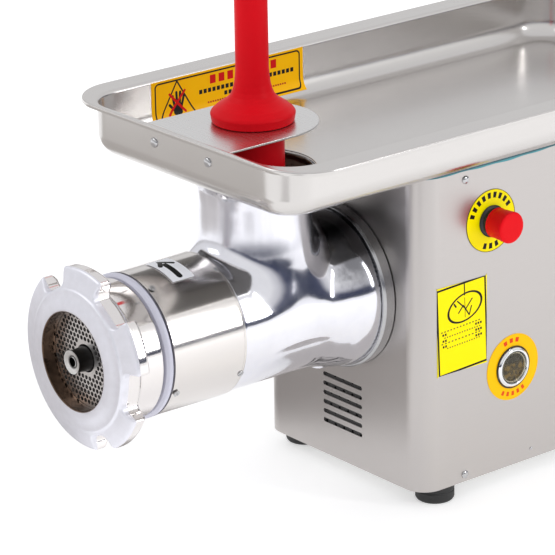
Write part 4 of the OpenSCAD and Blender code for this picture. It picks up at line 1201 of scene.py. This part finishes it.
rear = [(s * (rear_span.x1 - rear_r), panel_y, rear_span.z0 + rear_r + rise, (0, 1, 0), rear_r)
        for s in (-1, 1) for rise in (0, 126, 255)]
screw_set("rear_screw_heads", dome, rear, "rear_screws")
jacket = []
for y in (sleeve.y0 + 3.2, sleeve.y1 - 3.9):
    for degrees in (64, 154, 244, 334):
        a = math.radians(degrees)
        way = (math.cos(a), 0, math.sin(a))
        jacket.append((way[0] * (sleeve_r - 0.1), y, axis_z + way[2] * (sleeve_r - 0.1), way, 1.0))
screw_set("sleeve_screw_heads", slotted, jacket, "sleeve_screws")
for template in (dome, slotted):
    bpy.data.objects.remove(template)

# %% [markdown]
# ## Stop button
# It is a red cup that slides over the neck of its black collar. Both are turned shapes, so
# both come from the lathe; a bevelled cylinder would do too, but the profile also gives the
# hollow under the cap's edge, which shows when the button is seen from the side.

# %% Stop button and collar
button = Span("stop_button")
collar_box = Span("stop_collar")
stop_at = (0, button.y, button.z)
button_r = button.deep / 2
tip = button.x1
stem_half, cup_r = 8, 13.2
cup_floor, cup_edge = side_x + 14.4, side_x + 8.5
button_piece = lathe("stop_cap", [
    (0, button.x0), (stem_half, button.x0, 0.6), (stem_half, cup_floor, 0.3), (cup_r, cup_floor, 0.4),
    (cup_r, cup_edge, 0.4), (button_r, cup_edge, 0.6), (button_r, tip - 0.5, 1.9), (12, tip, 6), (0, tip)],
    "X", stop_at, closed=False, turns=96, steps=6)
settle(button_piece, button_red, "stop", "red_plastic", "stop_button")

collar_bore, thread_r, flange_half, neck_half = 8.1, 11, 15.2, 12.4
flange_x, flange_top, neck_x = side_x + 1.0, side_x + 3.2, side_x + 8.4
stop_collar = lathe("stop_neck", [
    (collar_bore, collar_box.x0, 0.3), (thread_r, collar_box.x0, 0.4), (thread_r, flange_x, 0.1),
    (flange_half, flange_x, 0.4), (flange_half, flange_top, 0.7), (neck_half, flange_top, 0.5),
    (neck_half, neck_x, 0.5), (collar_bore, neck_x, 0.4)], "X", stop_at, turns=96)
settle(stop_collar, black_plastic, "machine", "black_plastic", "stop_collar")

# %% [markdown]
# ## Sight glass
# A chromed ring holds the pane through which the oil is checked, and a rubber gasket
# shows as a dark line round it. The ring's front is two slopes that meet in a soft ridge,
# which is why it catches a bright line. A bevelled torus would be rounder than the real one.

# %% Sight glass ring
ring = Span("sight_ring")
pane = Span("sight_glass")
sight_at = (0, ring.y, ring.z)
ring_r = ring.deep / 2
pane_r = pane.deep / 2
sight_ring = lathe("sight_bezel", [
    (13.4, ring.x0, 0.3), (16.8, ring.x0, 0.3), (16.8, side_x + 0.5, 0.1), (ring_r - 1.4, side_x + 0.5, 0.3),
    (ring_r - 1.4, side_x + 2.0, 0.9), (ring_r - 3.0, ring.x1, 1.2), (pane_r + 1.0, ring.x1, 0.8),
    (pane_r + 0.1, side_x + 1.5, 0.1), (13.4, side_x + 1.4, 0.2)], "X", sight_at, turns=96)
settle(sight_ring, chrome, "machine", "chrome", "sight_ring")
gasket = lathe("sight_gasket", [
    (ring_r - 1.3, side_x + 0.45, 0.2), (ring_r, side_x + 0.45, 0.3), (ring_r, side_x + 1.7, 0.7),
    (ring_r - 1.3, side_x + 1.9, 0.4)], "X", sight_at, turns=96)
settle(gasket, rubber, "machine", "rubber")

# %% [markdown]
# ## Rubber feet
# Each foot is a turned block with a groove near its top and a recess for its bolt's head.
# The groove is a dent of one millimetre in the profile, made round by the same small arcs.

# %% Feet
feet_box = Span("feet")
foot_r = 18.5
foot_line = [(4.2, 6.0, 0.4), (7.0, 6.0, 0.4), (7.0, 0.0, 0.5), (foot_r - 1.6, 0.0, 1.4), (foot_r, 2.4, 1.6),
             (foot_r, 9.0, 0.8), (foot_r - 0.8, 10.0, 0.5), (foot_r, 11.0, 0.8), (foot_r, feet_box.z1, 0.9),
             (4.2, feet_box.z1, 0.4)]
made_feet = [lathe("foot", foot_line, "Z", (s * (feet_box.x1 - foot_r), y, 0), turns=64)
             for s in (-1, 1) for y in (feet_box.y0 + foot_r, feet_box.y1 - foot_r)]
feet = weigh(fuse("rubber_feet", made_feet))
feet.data.shade_smooth()
settle(feet, rubber, "machine", "rubber", "feet")

# %% [markdown]
# ## Printed labels as expressions
# A printed mark could be an image, but an image is one more file and blurs up close. A mark
# is a shape in the plane of its label, so it can be a distance again: a rounded box for the
# border, a capsule for a finger, an arc of blocks where a word would be. Each shape is a few
# operators on two wires, and ink goes where the distance is below zero. The marks are
# generic: no words are printed.

# %% Shapes for printing
class Print(Finish):
    """A printed label: shapes on two wires, in millimetres."""

    def __init__(self, name, paper, axes, centre, rough=0.32, tilt=0.0):
        # Every label glows faintly in its own colours: painted light, though it is no lamp.
        super().__init__(name, paper, rough, 0.0, Specular_IOR_Level=0.1, Emission_Strength=0.1)
        spot = self.split(self.place())
        self.u = spot["xyz".index(axes[0])] - centre[0]
        self.v = spot["xyz".index(axes[1])] - centre[1]
        if tilt:
            cos, sin = math.cos(math.radians(tilt)), math.sin(math.radians(tilt))
            self.u, self.v = self.u * cos + self.v * sin, self.v * cos - self.u * sin
        fade = self.noise(26.0, detail=2.0)
        self.colour = self.mix(fade, tint(paper, 0.95), tint(paper, 1.03))

    def ink(self, distance, colour, soft=0.12):
        """Covers with ink where distance is below zero."""
        cover = (0.5 - distance / (2 * soft)).clamp()
        self.colour = self.mix(cover, self.colour, colour)

    def box(self, cu, cv, hu, hv, corner=0.0):
        """A box round (cu, cv), with half its width and height."""
        du, dv = abs(self.u - cu) - (hu - corner), abs(self.v - cv) - (hv - corner)
        if not corner:
            return du.most(dv)
        out_u, out_v = du.most(0.0), dv.most(0.0)
        return (out_u * out_u + out_v * out_v).root() + du.most(dv).least(0.0) - corner

    def from_centre(self):
        return (self.u * self.u + self.v * self.v).root()

    def stroke(self, a, b, half):
        """A line from a to b with round ends, `half` as thick to each side."""
        du, dv = b[0] - a[0], b[1] - a[1]
        pu, pv = self.u - a[0], self.v - a[1]
        t = ((pu * du + pv * dv) / (du * du + dv * dv)).clamp()
        qu, qv = pu - t * du, pv - t * dv
        return (qu * qu + qv * qv).root() - half

    def path(self, points, half):
        """Strokes from point to point."""
        whole = None
        for a, b in zip(points, points[1:]):
            piece = self.stroke(a, b, half)
            whole = piece if whole is None else whole.least(piece)
        return whole

    def frame(self, cu, cv, hu, hv, corner, half):
        """The outline of a box, as a line."""
        return abs(self.box(cu, cv, hu, hv, corner)) - half

    def blocks(self, r, half_r, start, end, count, share=0.62):
        """Blocks on an arc, where a word would be; angles in degrees from the right."""
        angle = self.v.angle_of(self.u) * (180 / math.pi)
        middle, span = (start + end) / 2, (end - start) / 2
        off = self._wrap(angle - middle)
        pitch = (end - start) / count
        cell = self._zigzag(off + span, pitch / 2)
        gap = (pitch / 2 * (1 - share) - cell) * (math.pi / 180) * r
        return (abs(self.from_centre() - r) - half_r).most((abs(off) - span) * (math.pi / 180) * r).most(gap)

    def _wrap(self, angle):
        """An angle brought between -180 and 180 degrees."""
        return self.add("ShaderNodeMath", {"operation": "WRAP"}, {0: angle, 1: 180.0, 2: -180.0})

    def _zigzag(self, value, top):
        return self.add("ShaderNodeMath", {"operation": "PINGPONG"}, {0: value, 1: top})

    def row(self, cu, cv, width, height, marks, share=0.7):
        """A row of blocks, where a line of words would be."""
        pitch = width / marks
        cell = self._zigzag(self.u - cu + width / 2, pitch / 2)
        return self.box(cu, cv, width / 2, height / 2).most(pitch / 2 * (1 - share) - cell)

    def printed(self):
        self.set("Base Color", self.colour)
        # The print's colours also go to the glow: painted light.
        self.set("Emission Color", self.colour)
        return self.material


BLACK = (0.012, 0.012, 0.012)
RED = (0.62, 0.008, 0.008)
YELLOW = (1.0, 0.84, 0.0)
AMBER = (1.0, 0.51, 0.0)
ORANGE = (1.0, 0.55, 0.0)
SCARLET = (0.75, 0.06, 0.01)
print("inks", BLACK, RED, YELLOW, AMBER)

# %% [markdown]
# ## The six labels
# They are thin printed plates: the hand-protection label bends round the tray's bottom
# edge, the notice is flat, three legend plates are round, and the direction sticker wraps
# the sleeve.

# %% Label plates
def prism_faces(count):
    """Faces between two rings of points that follow each other in one list."""
    return [(k, (k + 1) % count, (k + 1) % count + count, k + count) for k in range(count)]


def flat_label(name, x, centre, half_wide, half_tall, thick, tilt=0.0, corner=1.5):
    """A thin plate with round corners on the side of the machine, turned by tilt degrees."""
    line = rounded([(-half_wide, -half_tall), (half_wide, -half_tall), (half_wide, half_tall),
                    (-half_wide, half_tall)], corner, 4)
    cos, sin = math.cos(math.radians(tilt)), math.sin(math.radians(tilt))
    line = [(centre[0] + u * cos - v * sin, centre[1] + u * sin + v * cos) for u, v in line]
    count = len(line)
    points = [(x + d, y, z) for d in (0, thick) for y, z in line]
    faces = [tuple(range(count)), tuple(range(count, 2 * count))] + prism_faces(count)
    return new_object(name, points, faces, smooth=False)


def curved_label(name, outer, inner, low, high):
    """A strip between two lines of a section in X and Z, from low to high along Y."""
    line = outer + inner[::-1]
    count = len(line)
    points = [(x, y, z) for y in (low, high) for x, z in line]
    faces = prism_faces(count)
    for k in range(len(outer) - 1):
        a, b = count - 1 - k, count - 2 - k
        faces += [(k, k + 1, b, a), (k + count, k + 1 + count, b + count, a + count)]
    obj = new_object(name, points, faces)
    obj.data.set_sharp_from_angle(angle=math.radians(40))
    return obj


# %% [markdown]
# ### Hand-protection label
# It is stuck inside the tray's far wall and follows the round bottom edge, so its section
# is a straight line and an arc. The hand is a palm with five capsules, crossed out in red.

# %% Hand label
warn_y0, warn_y1 = housing.y0 - 104.5, housing.y0 + 78.0
warn_top, warn_low = low_z + 48.2, low_z + 6.5
bend = 46


def arc_points(centre, r, start, end, steps):
    """Points of an arc in a plane, angles in degrees."""
    angles = [math.radians(a) for a in np.linspace(start, end, steps)]
    return [(centre[0] + r * math.cos(a), centre[1] + r * math.sin(a)) for a in angles]


def wall_line(gap):
    """The label's section: down the wall and round the bottom edge, `gap` off the sheet."""
    centre = (-wall_hw + bottom_r, low_z + bottom_r)
    r = bottom_r - sheet_t - gap
    return [(centre[0] - r, warn_top)] + arc_points(centre, r, 180, 180 + bend, 12)


warning = curved_label("hand_label", wall_line(0.05), wall_line(0.3), warn_y0, warn_y1)
warn = Print("hand_label_print", AMBER, "yz", ((warn_y0 + warn_y1) / 2, (warn_top + warn_low) / 2))
half_u, half_v = (warn_y1 - warn_y0) / 2, (warn_top - warn_low) / 2
warn.ink(warn.frame(0, 0, half_u - 4.5, half_v - 2.6, 4.0, 0.8), BLACK)
sign = -half_u + 30
foot_v = -half_v + 3.4
warn.ink(warn.path([(sign - 21, foot_v), (sign, -foot_v), (sign + 21, foot_v)], 0.8), BLACK)
hand_u = sign + 0.5
hand = warn.box(hand_u, -9.5, 5.2, 5.4, 2.6)
fingers = ((-3.6, -6.0, 3.5), (-0.8, -1.4, 6.6), (2.2, 3.0, 6.2), (4.6, 7.4, 2.6), (-4.2, -9.5, -4.5))
for base_u, tip_u, tip_v in fingers:
    root_v = -7.0 if tip_v > 0 else -10.0
    hand = hand.least(warn.stroke((hand_u + base_u, root_v), (hand_u + tip_u, tip_v), 1.35))
warn.ink(hand, BLACK)
cross = warn.stroke((sign - 9, 6), (sign + 9, -13), 1.25)
cross = cross.least(warn.stroke((sign + 9, 7), (sign - 10, -14), 1.25))
warn.ink(cross, RED)
warn.ink(warn.row(18, 11.0, 84, 8.4, 8, 0.66), RED)
warn.ink(warn.row(22, 1.0, 116, 4.2, 22, 0.72), BLACK)
warn.ink(warn.row(22, -5.4, 56, 4.0, 11, 0.72), BLACK)
warn.ink(warn.row(22, -10.8, 96, 1.7, 34), (0.45, 0.04, 0.01))
settle(warning, warn.printed(), "machine", "label_yellow", "labels")

# %% [markdown]
# ### Notice on the side
# A yellow sticker that was put on a little crooked. It has a drawing in an oval and a block
# of small lines; both are reduced to plain strokes and dots.

# %% Side notice
notice_at = (housing.y0 + 49.4, housing.z0 + 156.2)
notice_hw, notice_hh = 32.0, 44.5
notice_tilt = 2.2
notice = flat_label("side_notice", side_x + 0.05, notice_at, notice_hw, notice_hh, 0.3, notice_tilt)
note = Print("side_notice_print", YELLOW, "yz", notice_at, tilt=notice_tilt)
note.ink(note.frame(0, 0, notice_hw - 2.4, notice_hh - 2.6, 1.0, 1.0), BLACK)
note.ink(note.stroke((4, notice_hh - 4), (4, 30), 0.7), BLACK)
oval_u, oval_v = note.u - 4, (note.v - 18 - (note.u - 4) * 0.12) * 1.55
note.ink(abs((oval_u * oval_u + oval_v * oval_v).root() - 20.5) - 1.3, BLACK)
note.ink(note.path([(-5, 26), (5, 16), (13, 24)], 0.7), BLACK)
note.ink(note.path([(-4, 14), (2, 20), (9, 9), (12, 17)], 0.7), BLACK)
note.ink(note.stroke((4, 27), (4, 8), 0.35), BLACK)
note.ink(note.stroke((-9, 24), (-7, 21), 0.9), BLACK)
text_rows = ((0.5, -2, 50, 13), (-5.5, 0, 46, 15), (-11.0, -2, 50, 12), (-16.5, 1, 42, 14))
for level, start, width, marks in text_rows:
    note.ink(note.row(start, level, width, 1.3, marks, 0.5), (0.16, 0.13, 0.02))
for level in (-2.4, -8.4, -14.0):
    note.ink(note.row(-22, level, 6, 2.2, 2, 0.7), BLACK)
    note.ink(note.row(20, level, 9, 2.2, 3, 0.7), BLACK)
settle(notice, note.printed(), "machine", "label_yellow")

# %% [markdown]
# ### Round legend plates
# The stop button, the sight glass and the selector each sit in a round plate. One function
# turns the plate from its two radii; blocks on an arc stand for the words round the rim.

# %% Legend plates
def round_plate(name, hole_r, outer_r, thick, place, side=1, edge=0.3):
    """A flat ring on the machine's side: +1 for the side of the stop button, -1 for the other."""
    x0, x1 = side * (side_x + 0.05), side * (side_x + thick)
    line = [(hole_r, x0, 0.1), (outer_r, x0, 0.1), (outer_r, x1, edge), (hole_r, x1, 0.1)]
    return lathe(name, line, "X", place, turns=96)


legend = round_plate("stop_legend", 11.3, 30, 0.8, stop_at)
stop_print = Print("stop_legend_print", YELLOW, "yz", (button.y, button.z))
stop_print.ink(stop_print.blocks(24.4, 2.8, 22, 168, 9, 0.55), BLACK)
stop_print.ink(stop_print.blocks(24.4, 2.8, 244, 312, 4, 0.55), BLACK)
# Painted shade: the outer edge of the plate is inked dark olive for the shade on its rim.
stop_print.ink(29.3 - stop_print.from_centre(), (0.25, 0.2, 0.01))
settle(legend, stop_print.printed(), "machine", "label_yellow")

oil_legend = round_plate("oil_legend", 17.3, 32.5, 0.4, sight_at, edge=0.15)
oil_print = Print("oil_legend_print", ORANGE, "yz", (ring.y, ring.z))
oil_print.ink(oil_print.blocks(26.6, 2.2, 70, 118, 3, 0.55), SCARLET)
oil_print.ink(oil_print.blocks(26.6, 2.2, 236, 306, 5, 0.5), (0.75, 0.08, 0.01))
oil_print.ink(abs(oil_print.from_centre() - 31.6) - 0.2, (0.75, 0.42, 0.01))
settle(oil_legend, oil_print.printed(), "machine", "label_yellow")

selector_legend = round_plate("selector_legend", 11.3, 26, 0.8, stop_at, side=-1)
turn_print = Print("selector_legend_print", (0.72, 0.73, 0.74), "yz", (button.y, button.z))
for degrees in (45, 90, 135):
    inner_end, outer_end = (arc_points((0, 0), r, degrees, degrees, 1)[0] for r in (17, 22))
    turn_print.ink(turn_print.stroke(inner_end, outer_end, 0.8), BLACK)
turn_print.ink(abs(turn_print.from_centre() - 24.4) - 0.35, BLACK)
settle(selector_legend, turn_print.printed(), "machine", "label_yellow")

# %% [markdown]
# ### Direction sticker
# A small sticker with a plain arrow shows a way of turning. It wraps the sleeve, so its
# print is laid out along the arc: the angle round the axis, times the radius, is the first
# coordinate.

# %% Direction sticker
sticker_y0, sticker_y1 = housing.y0 - 217.0, housing.y0 - 193.0
sticker_a0, sticker_a1 = 64, 99


def sleeve_line(gap):
    return arc_points((0, axis_z), sleeve_r + gap, sticker_a0, sticker_a1, 16)


sticker = curved_label("direction_sticker", sleeve_line(0.3), sleeve_line(0.05), sticker_y0, sticker_y1)
arrow = Print("direction_sticker_print", (0.78, 0.79, 0.83), "xy", (0.0, (sticker_y0 + sticker_y1) / 2),
              rough=0.25)
spot = arrow.split(arrow.place())
round_angle = (spot[2] - axis_z).angle_of(spot[0]) * (180 / math.pi)
arrow.u = (round_angle - (sticker_a0 + sticker_a1) / 2) * (math.radians(1) * sleeve_r)
arrow.ink(arrow.path([(-15, -1), (9, -1)], 3.0).most(arrow.u - 9), BLACK)
arrow.ink(arrow.path([(15, -2), (6, 7.5)], 2.0).least(arrow.path([(14, -1), (5, -7)], 2.2)), BLACK)
settle(sticker, arrow.printed(), "machine", "label_yellow")

# %% [markdown]
# ## A leftover of protective film
# Stainless sheet comes with a blue-green film on it. On this machine a thin line of it was
# left under the tray, where it was trapped when the film was pulled off. It could be a
# stripe in the housing's finish, but it has an edge of its own. So it is a narrow strip with
# a torn lower edge, whose width follows two slow waves.

# %% Film line under the tray
film_finish = Finish("protective_film", (0.02, 0.20, 0.23), 0.3, 0.0, Coat_Weight=0.3)
_, _, height = film_finish.split(film_finish.place())
crease = film_finish.noise(3.0, (1.0, 12.0, 1.0), detail=3.0)
film_top = housing.z0 + 308.6
shell_r = 22.0  # the housing's upright bends
upper = (height + crease * 1.2).step_up(film_top - 3.2, film_top - 1.6)
film_finish.set("Base Color", film_finish.mix(upper, (0.05, 0.36, 0.42), (0.01, 0.10, 0.13)))
bend_x, bend_y = side_x - shell_r, housing.y0 + shell_r
film_line = [(bend_x, bend_y, math.radians(a), shell_r) for a in np.linspace(-50, 0, 12)]
film_line += [(side_x, y, 0.0, 0.0) for y in np.linspace(bend_y + 3, housing.y1 - 14, 80)]
film_steps = len(film_line)
strips = []
for s in (-1, 1):
    points, faces = [], []
    for cx, cy, a, r in film_line:
        torn = 4.0 + 0.6 * math.sin(cy * 0.043 + a) + 0.35 * math.sin(cy * 0.171 + 1.0 + a * 3)
        for d, z in ((0.04, film_top), (0.2, film_top), (0.2, film_top - torn), (0.04, film_top - torn)):
            points.append((s * (cx + (r + d) * math.cos(a)), cy + (r + d) * math.sin(a), z))
    for k in range(film_steps - 1):
        faces += [(4 * k + i, 4 * k + (i + 1) % 4, 4 * k + 4 + (i + 1) % 4, 4 * k + 4 + i) for i in range(4)]
    faces += [(0, 1, 2, 3), tuple(4 * film_steps - 4 + i for i in range(4))]
    strips.append(new_object("film", points, faces, smooth=False))
settle(fuse("film_line", strips), film_finish.material, "machine", "black_plastic")

# %% [markdown]
# ## Glass over oil
# The pane has a light brown tint, and what is seen through it is oil: dark amber with golden
# blotches that are partly its own colour and partly painted reflection, and nearly black above
# the oil level, painted shade for the empty case. The oil is a small disc behind the pane, so
# the glass shader stays simple.

# %% Pane and oil
pane_glass = Finish("sight_pane_glass", (0.62, 0.59, 0.50), 0.05, 0.0, Transmission_Weight=1.0, IOR=1.3)
smear = pane_glass.noise(6.0, detail=3.0)
pane_glass.set("Roughness", 0.02 + smear * 0.06)
pane_line = [(0, pane.x0), (pane_r, pane.x0, 0.2), (pane_r, pane.x1 - 0.5, 0.4), (pane_r - 3, pane.x1, 6),
             (0, pane.x1)]
pane_piece = lathe("sight_pane", pane_line, "X", sight_at, closed=False, turns=64)
settle(pane_piece, pane_glass.material, "machine", "oil_glass", "sight_glass")
oil = Finish("gear_oil", (0.5, 0.3, 0.03), 0.12, 0.0, Coat_Weight=0.6, Coat_Roughness=0.05)
_, _, height = oil.split(oil.place())
film = oil.noise(5.0, detail=3.0)
# Above the oil level the disc goes nearly black: painted shade for the empty case.
empty_case_shade = (height + film * 7.0).step_up(ring.z + 5.0, ring.z + 8.0)
# The oil's dark amber is broken by golden blotches: partly its own colour, partly painted reflection.
oil_tone_and_glints = oil.mix(film.step_up(0.42, 0.62), (0.10, 0.075, 0.02), (0.62, 0.40, 0.06))
oil.set("Base Color", oil.mix(empty_case_shade, oil_tone_and_glints, (0.035, 0.032, 0.025)))
oil_r, oil_back, oil_front = 13.3, side_x - 1.8, side_x - 0.6
oil_line = [(0, oil_back), (oil_r, oil_back, 0.2), (oil_r, oil_front, 0.3), (0, oil_front)]
oil_disc = lathe("oil_level", oil_line, "X", sight_at, closed=False, turns=64)
settle(oil_disc, oil.material, "machine", "oil_glass")

# %% [markdown]
# ## The nodes that stay as they are
# Shafts, gears, bearings, the motor and the sheet shell have the right shape already. They
# could be remade with softer edges, but most are hidden, so they keep their CAD meshes and
# only get their finishes, in one list of names per finish.

# %% Finishes for the CAD nodes
CARRIED = (
    (steel_sheet, "housing_shell rear_panel"),
    (inner_sheet, "top_deck base_plate"),
    (screw_steel, "foot_bolts guard_nuts cover_screws output_bearings mid_bearings motor_bearings"),
    (machined, "head_bolts plate_key knife worm output_shaft output_gear mid_shaft mid_pinion mid_gear"),
    (machined, "motor_pinion motor_shaft rotor"),
    (bronze, "head_bush"),
    (fibre, "thrust_washer"),
    (iron_paint, "gearbox_case gearbox_cover"),
    (motor_paint, "motor_case motor_end_front motor_end_rear fan_cowl"),
    (winding, "stator"),
    (rubber, "oil_seal"),
    (grey_plastic, "stop_contacts"),
    (black_plastic, "vent_insert fan terminal_box selector cable_gland"),
)
carried = 0
for material, nodes in CARRIED:
    for node in nodes.split():
        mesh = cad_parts[node].data
        mesh.materials.clear()
        mesh.materials.append(material)
        carried += 1
print(carried, "CAD nodes given a finish")

# %% [markdown]
# ## Studio
# A pale floor runs past every edge of the view. The room is a soft tent: bright overhead,
# dimmer round the sides, so the polished parts have something dark to set off their
# highlights. Three grey cards on the floor do the same from below; the camera doesn't see
# them. Two lamps, a broad one in front and a tall narrow one behind, give the shape.

# %% Floor and cards
SQUARE = ((-1, -1), (1, -1), (1, 1), (-1, 1))
floor_half = 40000.0
glow = 0.46
floor = new_object("floor", [(u * floor_half, v * floor_half, -0.2) for u, v in SQUARE], [(0, 1, 2, 3)],
                   smooth=False)
paper = Finish("studio_floor", (0.8, 0.8, 0.8), 0.7, 0.0, Emission_Color=(1, 1, 1, 1), Emission_Strength=glow)
floor.data.materials.append(paper.material)


def grey_card(name, centre, half, shade, soft=80.0):
    """A soft-edged card on the floor, for the metal to reflect; the camera doesn't see it."""
    cos, sin = 0.7778, 0.6285  # the cards lie square to the camera's turn
    spots = []
    for u, v in SQUARE:
        x = centre[0] + u * half[0] * sin + v * half[1] * cos
        y = centre[1] + u * half[0] * cos - v * half[1] * sin
        spots.append((x, y, 1.0))
    card = new_object(name, spots, [(0, 1, 2, 3)], smooth=False)
    finish = Finish(name, shade, 0.8, 0.0, Emission_Color=(*shade, 1.0), Emission_Strength=glow)
    x, y, _ = finish.split(finish.place())
    u = abs((x - centre[0]) * sin + (y - centre[1]) * cos)
    v = abs((x - centre[0]) * cos - (y - centre[1]) * sin)
    fade = (1.0 - u.step_up(half[0] - soft, half[0])) * (1.0 - v.step_up(half[1] - soft, half[1]))
    finish.set("Alpha", fade)
    card.data.materials.append(finish.material)
    card.visible_camera = False
    card.visible_diffuse = False
    card.visible_shadow = False


grey_card("left_card", (-650, -760), (560, 620), (0.42, 0.40, 0.385))
grey_card("near_card", (-215, -255), (190, 200), (0.30, 0.285, 0.28))
grey_card("front_card", (690, -980), (190, 330), (0.46, 0.45, 0.45))
print("stage pieces", floor.name, "and three cards")

# %% [markdown]
# ### The room
# The world is what the metal mirrors, so it is painted by direction: a ramp from the floor
# to the zenith for each side, with a dark band at the horizon on the side of the stop
# button, and a soft change from one to the other.

# %% Room and lamps
world = bpy.data.worlds.new("studio")
bpy.context.scene.world = world
world.use_nodes = True
world.node_tree.nodes.clear()
room = Graph(world.node_tree)
look = room.add("ShaderNodeTexCoord", {}, {}, out=0)
wx, _, wz = room.split(look)
height = wz * 0.5 + 0.5
right_sky = room.add("ShaderNodeValToRGB", {"stops": [
    (0.0, (0.5, 0.5, 0.5)), (0.5, (0.05, 0.06, 0.10)), (0.565, (0.09, 0.10, 0.16)),
    (0.61, (0.75, 0.75, 0.78)), (0.68, (1.05, 1.05, 1.05)), (1.0, (1.0, 1.0, 1.02))]}, {0: height})
left_sky = room.add("ShaderNodeValToRGB", {"stops": [
    (0.0, (0.6, 0.6, 0.6)), (0.5, (0.62, 0.61, 0.61)), (0.6, (0.95, 0.95, 0.96)),
    (1.0, (1.0, 1.0, 1.02))]}, {0: height})
sky = room.mix(wx.step_up(-0.25, 0.25), left_sky, right_sky)
backdrop = room.add("ShaderNodeBackground", {}, {0: sky, 1: 0.85})
room.tree.links.new(backdrop.socket, room.tree.nodes.new("ShaderNodeOutputWorld").inputs[0])


def lamp(name, place, target, size, power):
    """A rectangular lamp that looks at the target; place and size in metres, power in watts."""
    data = bpy.data.lights.new(name, "AREA")
    data.shape = "RECTANGLE"
    data.size, data.size_y = size
    data.energy = power
    obj = linked(name, data)
    obj.location = place
    obj.rotation_euler = (Vector(target) - Vector(place)).to_track_quat("-Z", "Y").to_euler()
    return obj


middle = (cad_low + cad_high) / 2
lamp("key", (-1.6, -2.2, 2.6), middle, (1.6, 1.2), 14)
lamp("fill", (2.6, 1.4, 1.4), middle, (0.35, 1.8), 18)
print("lamps", [light.name for light in bpy.data.lights])
bpy.context.scene.view_settings.view_transform = "Standard"

# %% [markdown]
# ## Camera
# A long lens from a little above and to the right of the work head. The camera is set by
# the point it aims at, its turn and height round that point, its distance and a slight
# roll, because these five are easier to adjust by eye than a place and three angles.

# %% Camera
aim_at = Vector((0.0572, -0.1872, 0.2459))
distance = 3.07
turn, height, roll = (math.radians(a) for a in (51.0624, 19.9551, -1.01398))
back = Vector((math.sin(turn) * math.cos(height), -math.cos(turn) * math.cos(height), math.sin(height)))
right = Vector((math.cos(turn), math.sin(turn), 0.0))
up = back.cross(right)
right, up = right * math.cos(roll) + up * math.sin(roll), up * math.cos(roll) - right * math.sin(roll)
lens = bpy.data.cameras.new("camera")
lens.lens = 222.69
lens.sensor_width = 36.0
lens.clip_end = 200.0
camera = linked("camera", lens)
facing_out = Matrix((right, up, back)).transposed().to_4x4()
camera.matrix_world = Matrix.Translation(aim_at + back * distance) @ facing_out
bpy.context.scene.camera = camera
print("camera at", [round(c, 3) for c in camera.location])

# %% Sizes, then the end
bpy.context.view_layer.update()
print("CAD box", [round(c, 4) for c in cad_low], [round(c, 4) for c in cad_high])
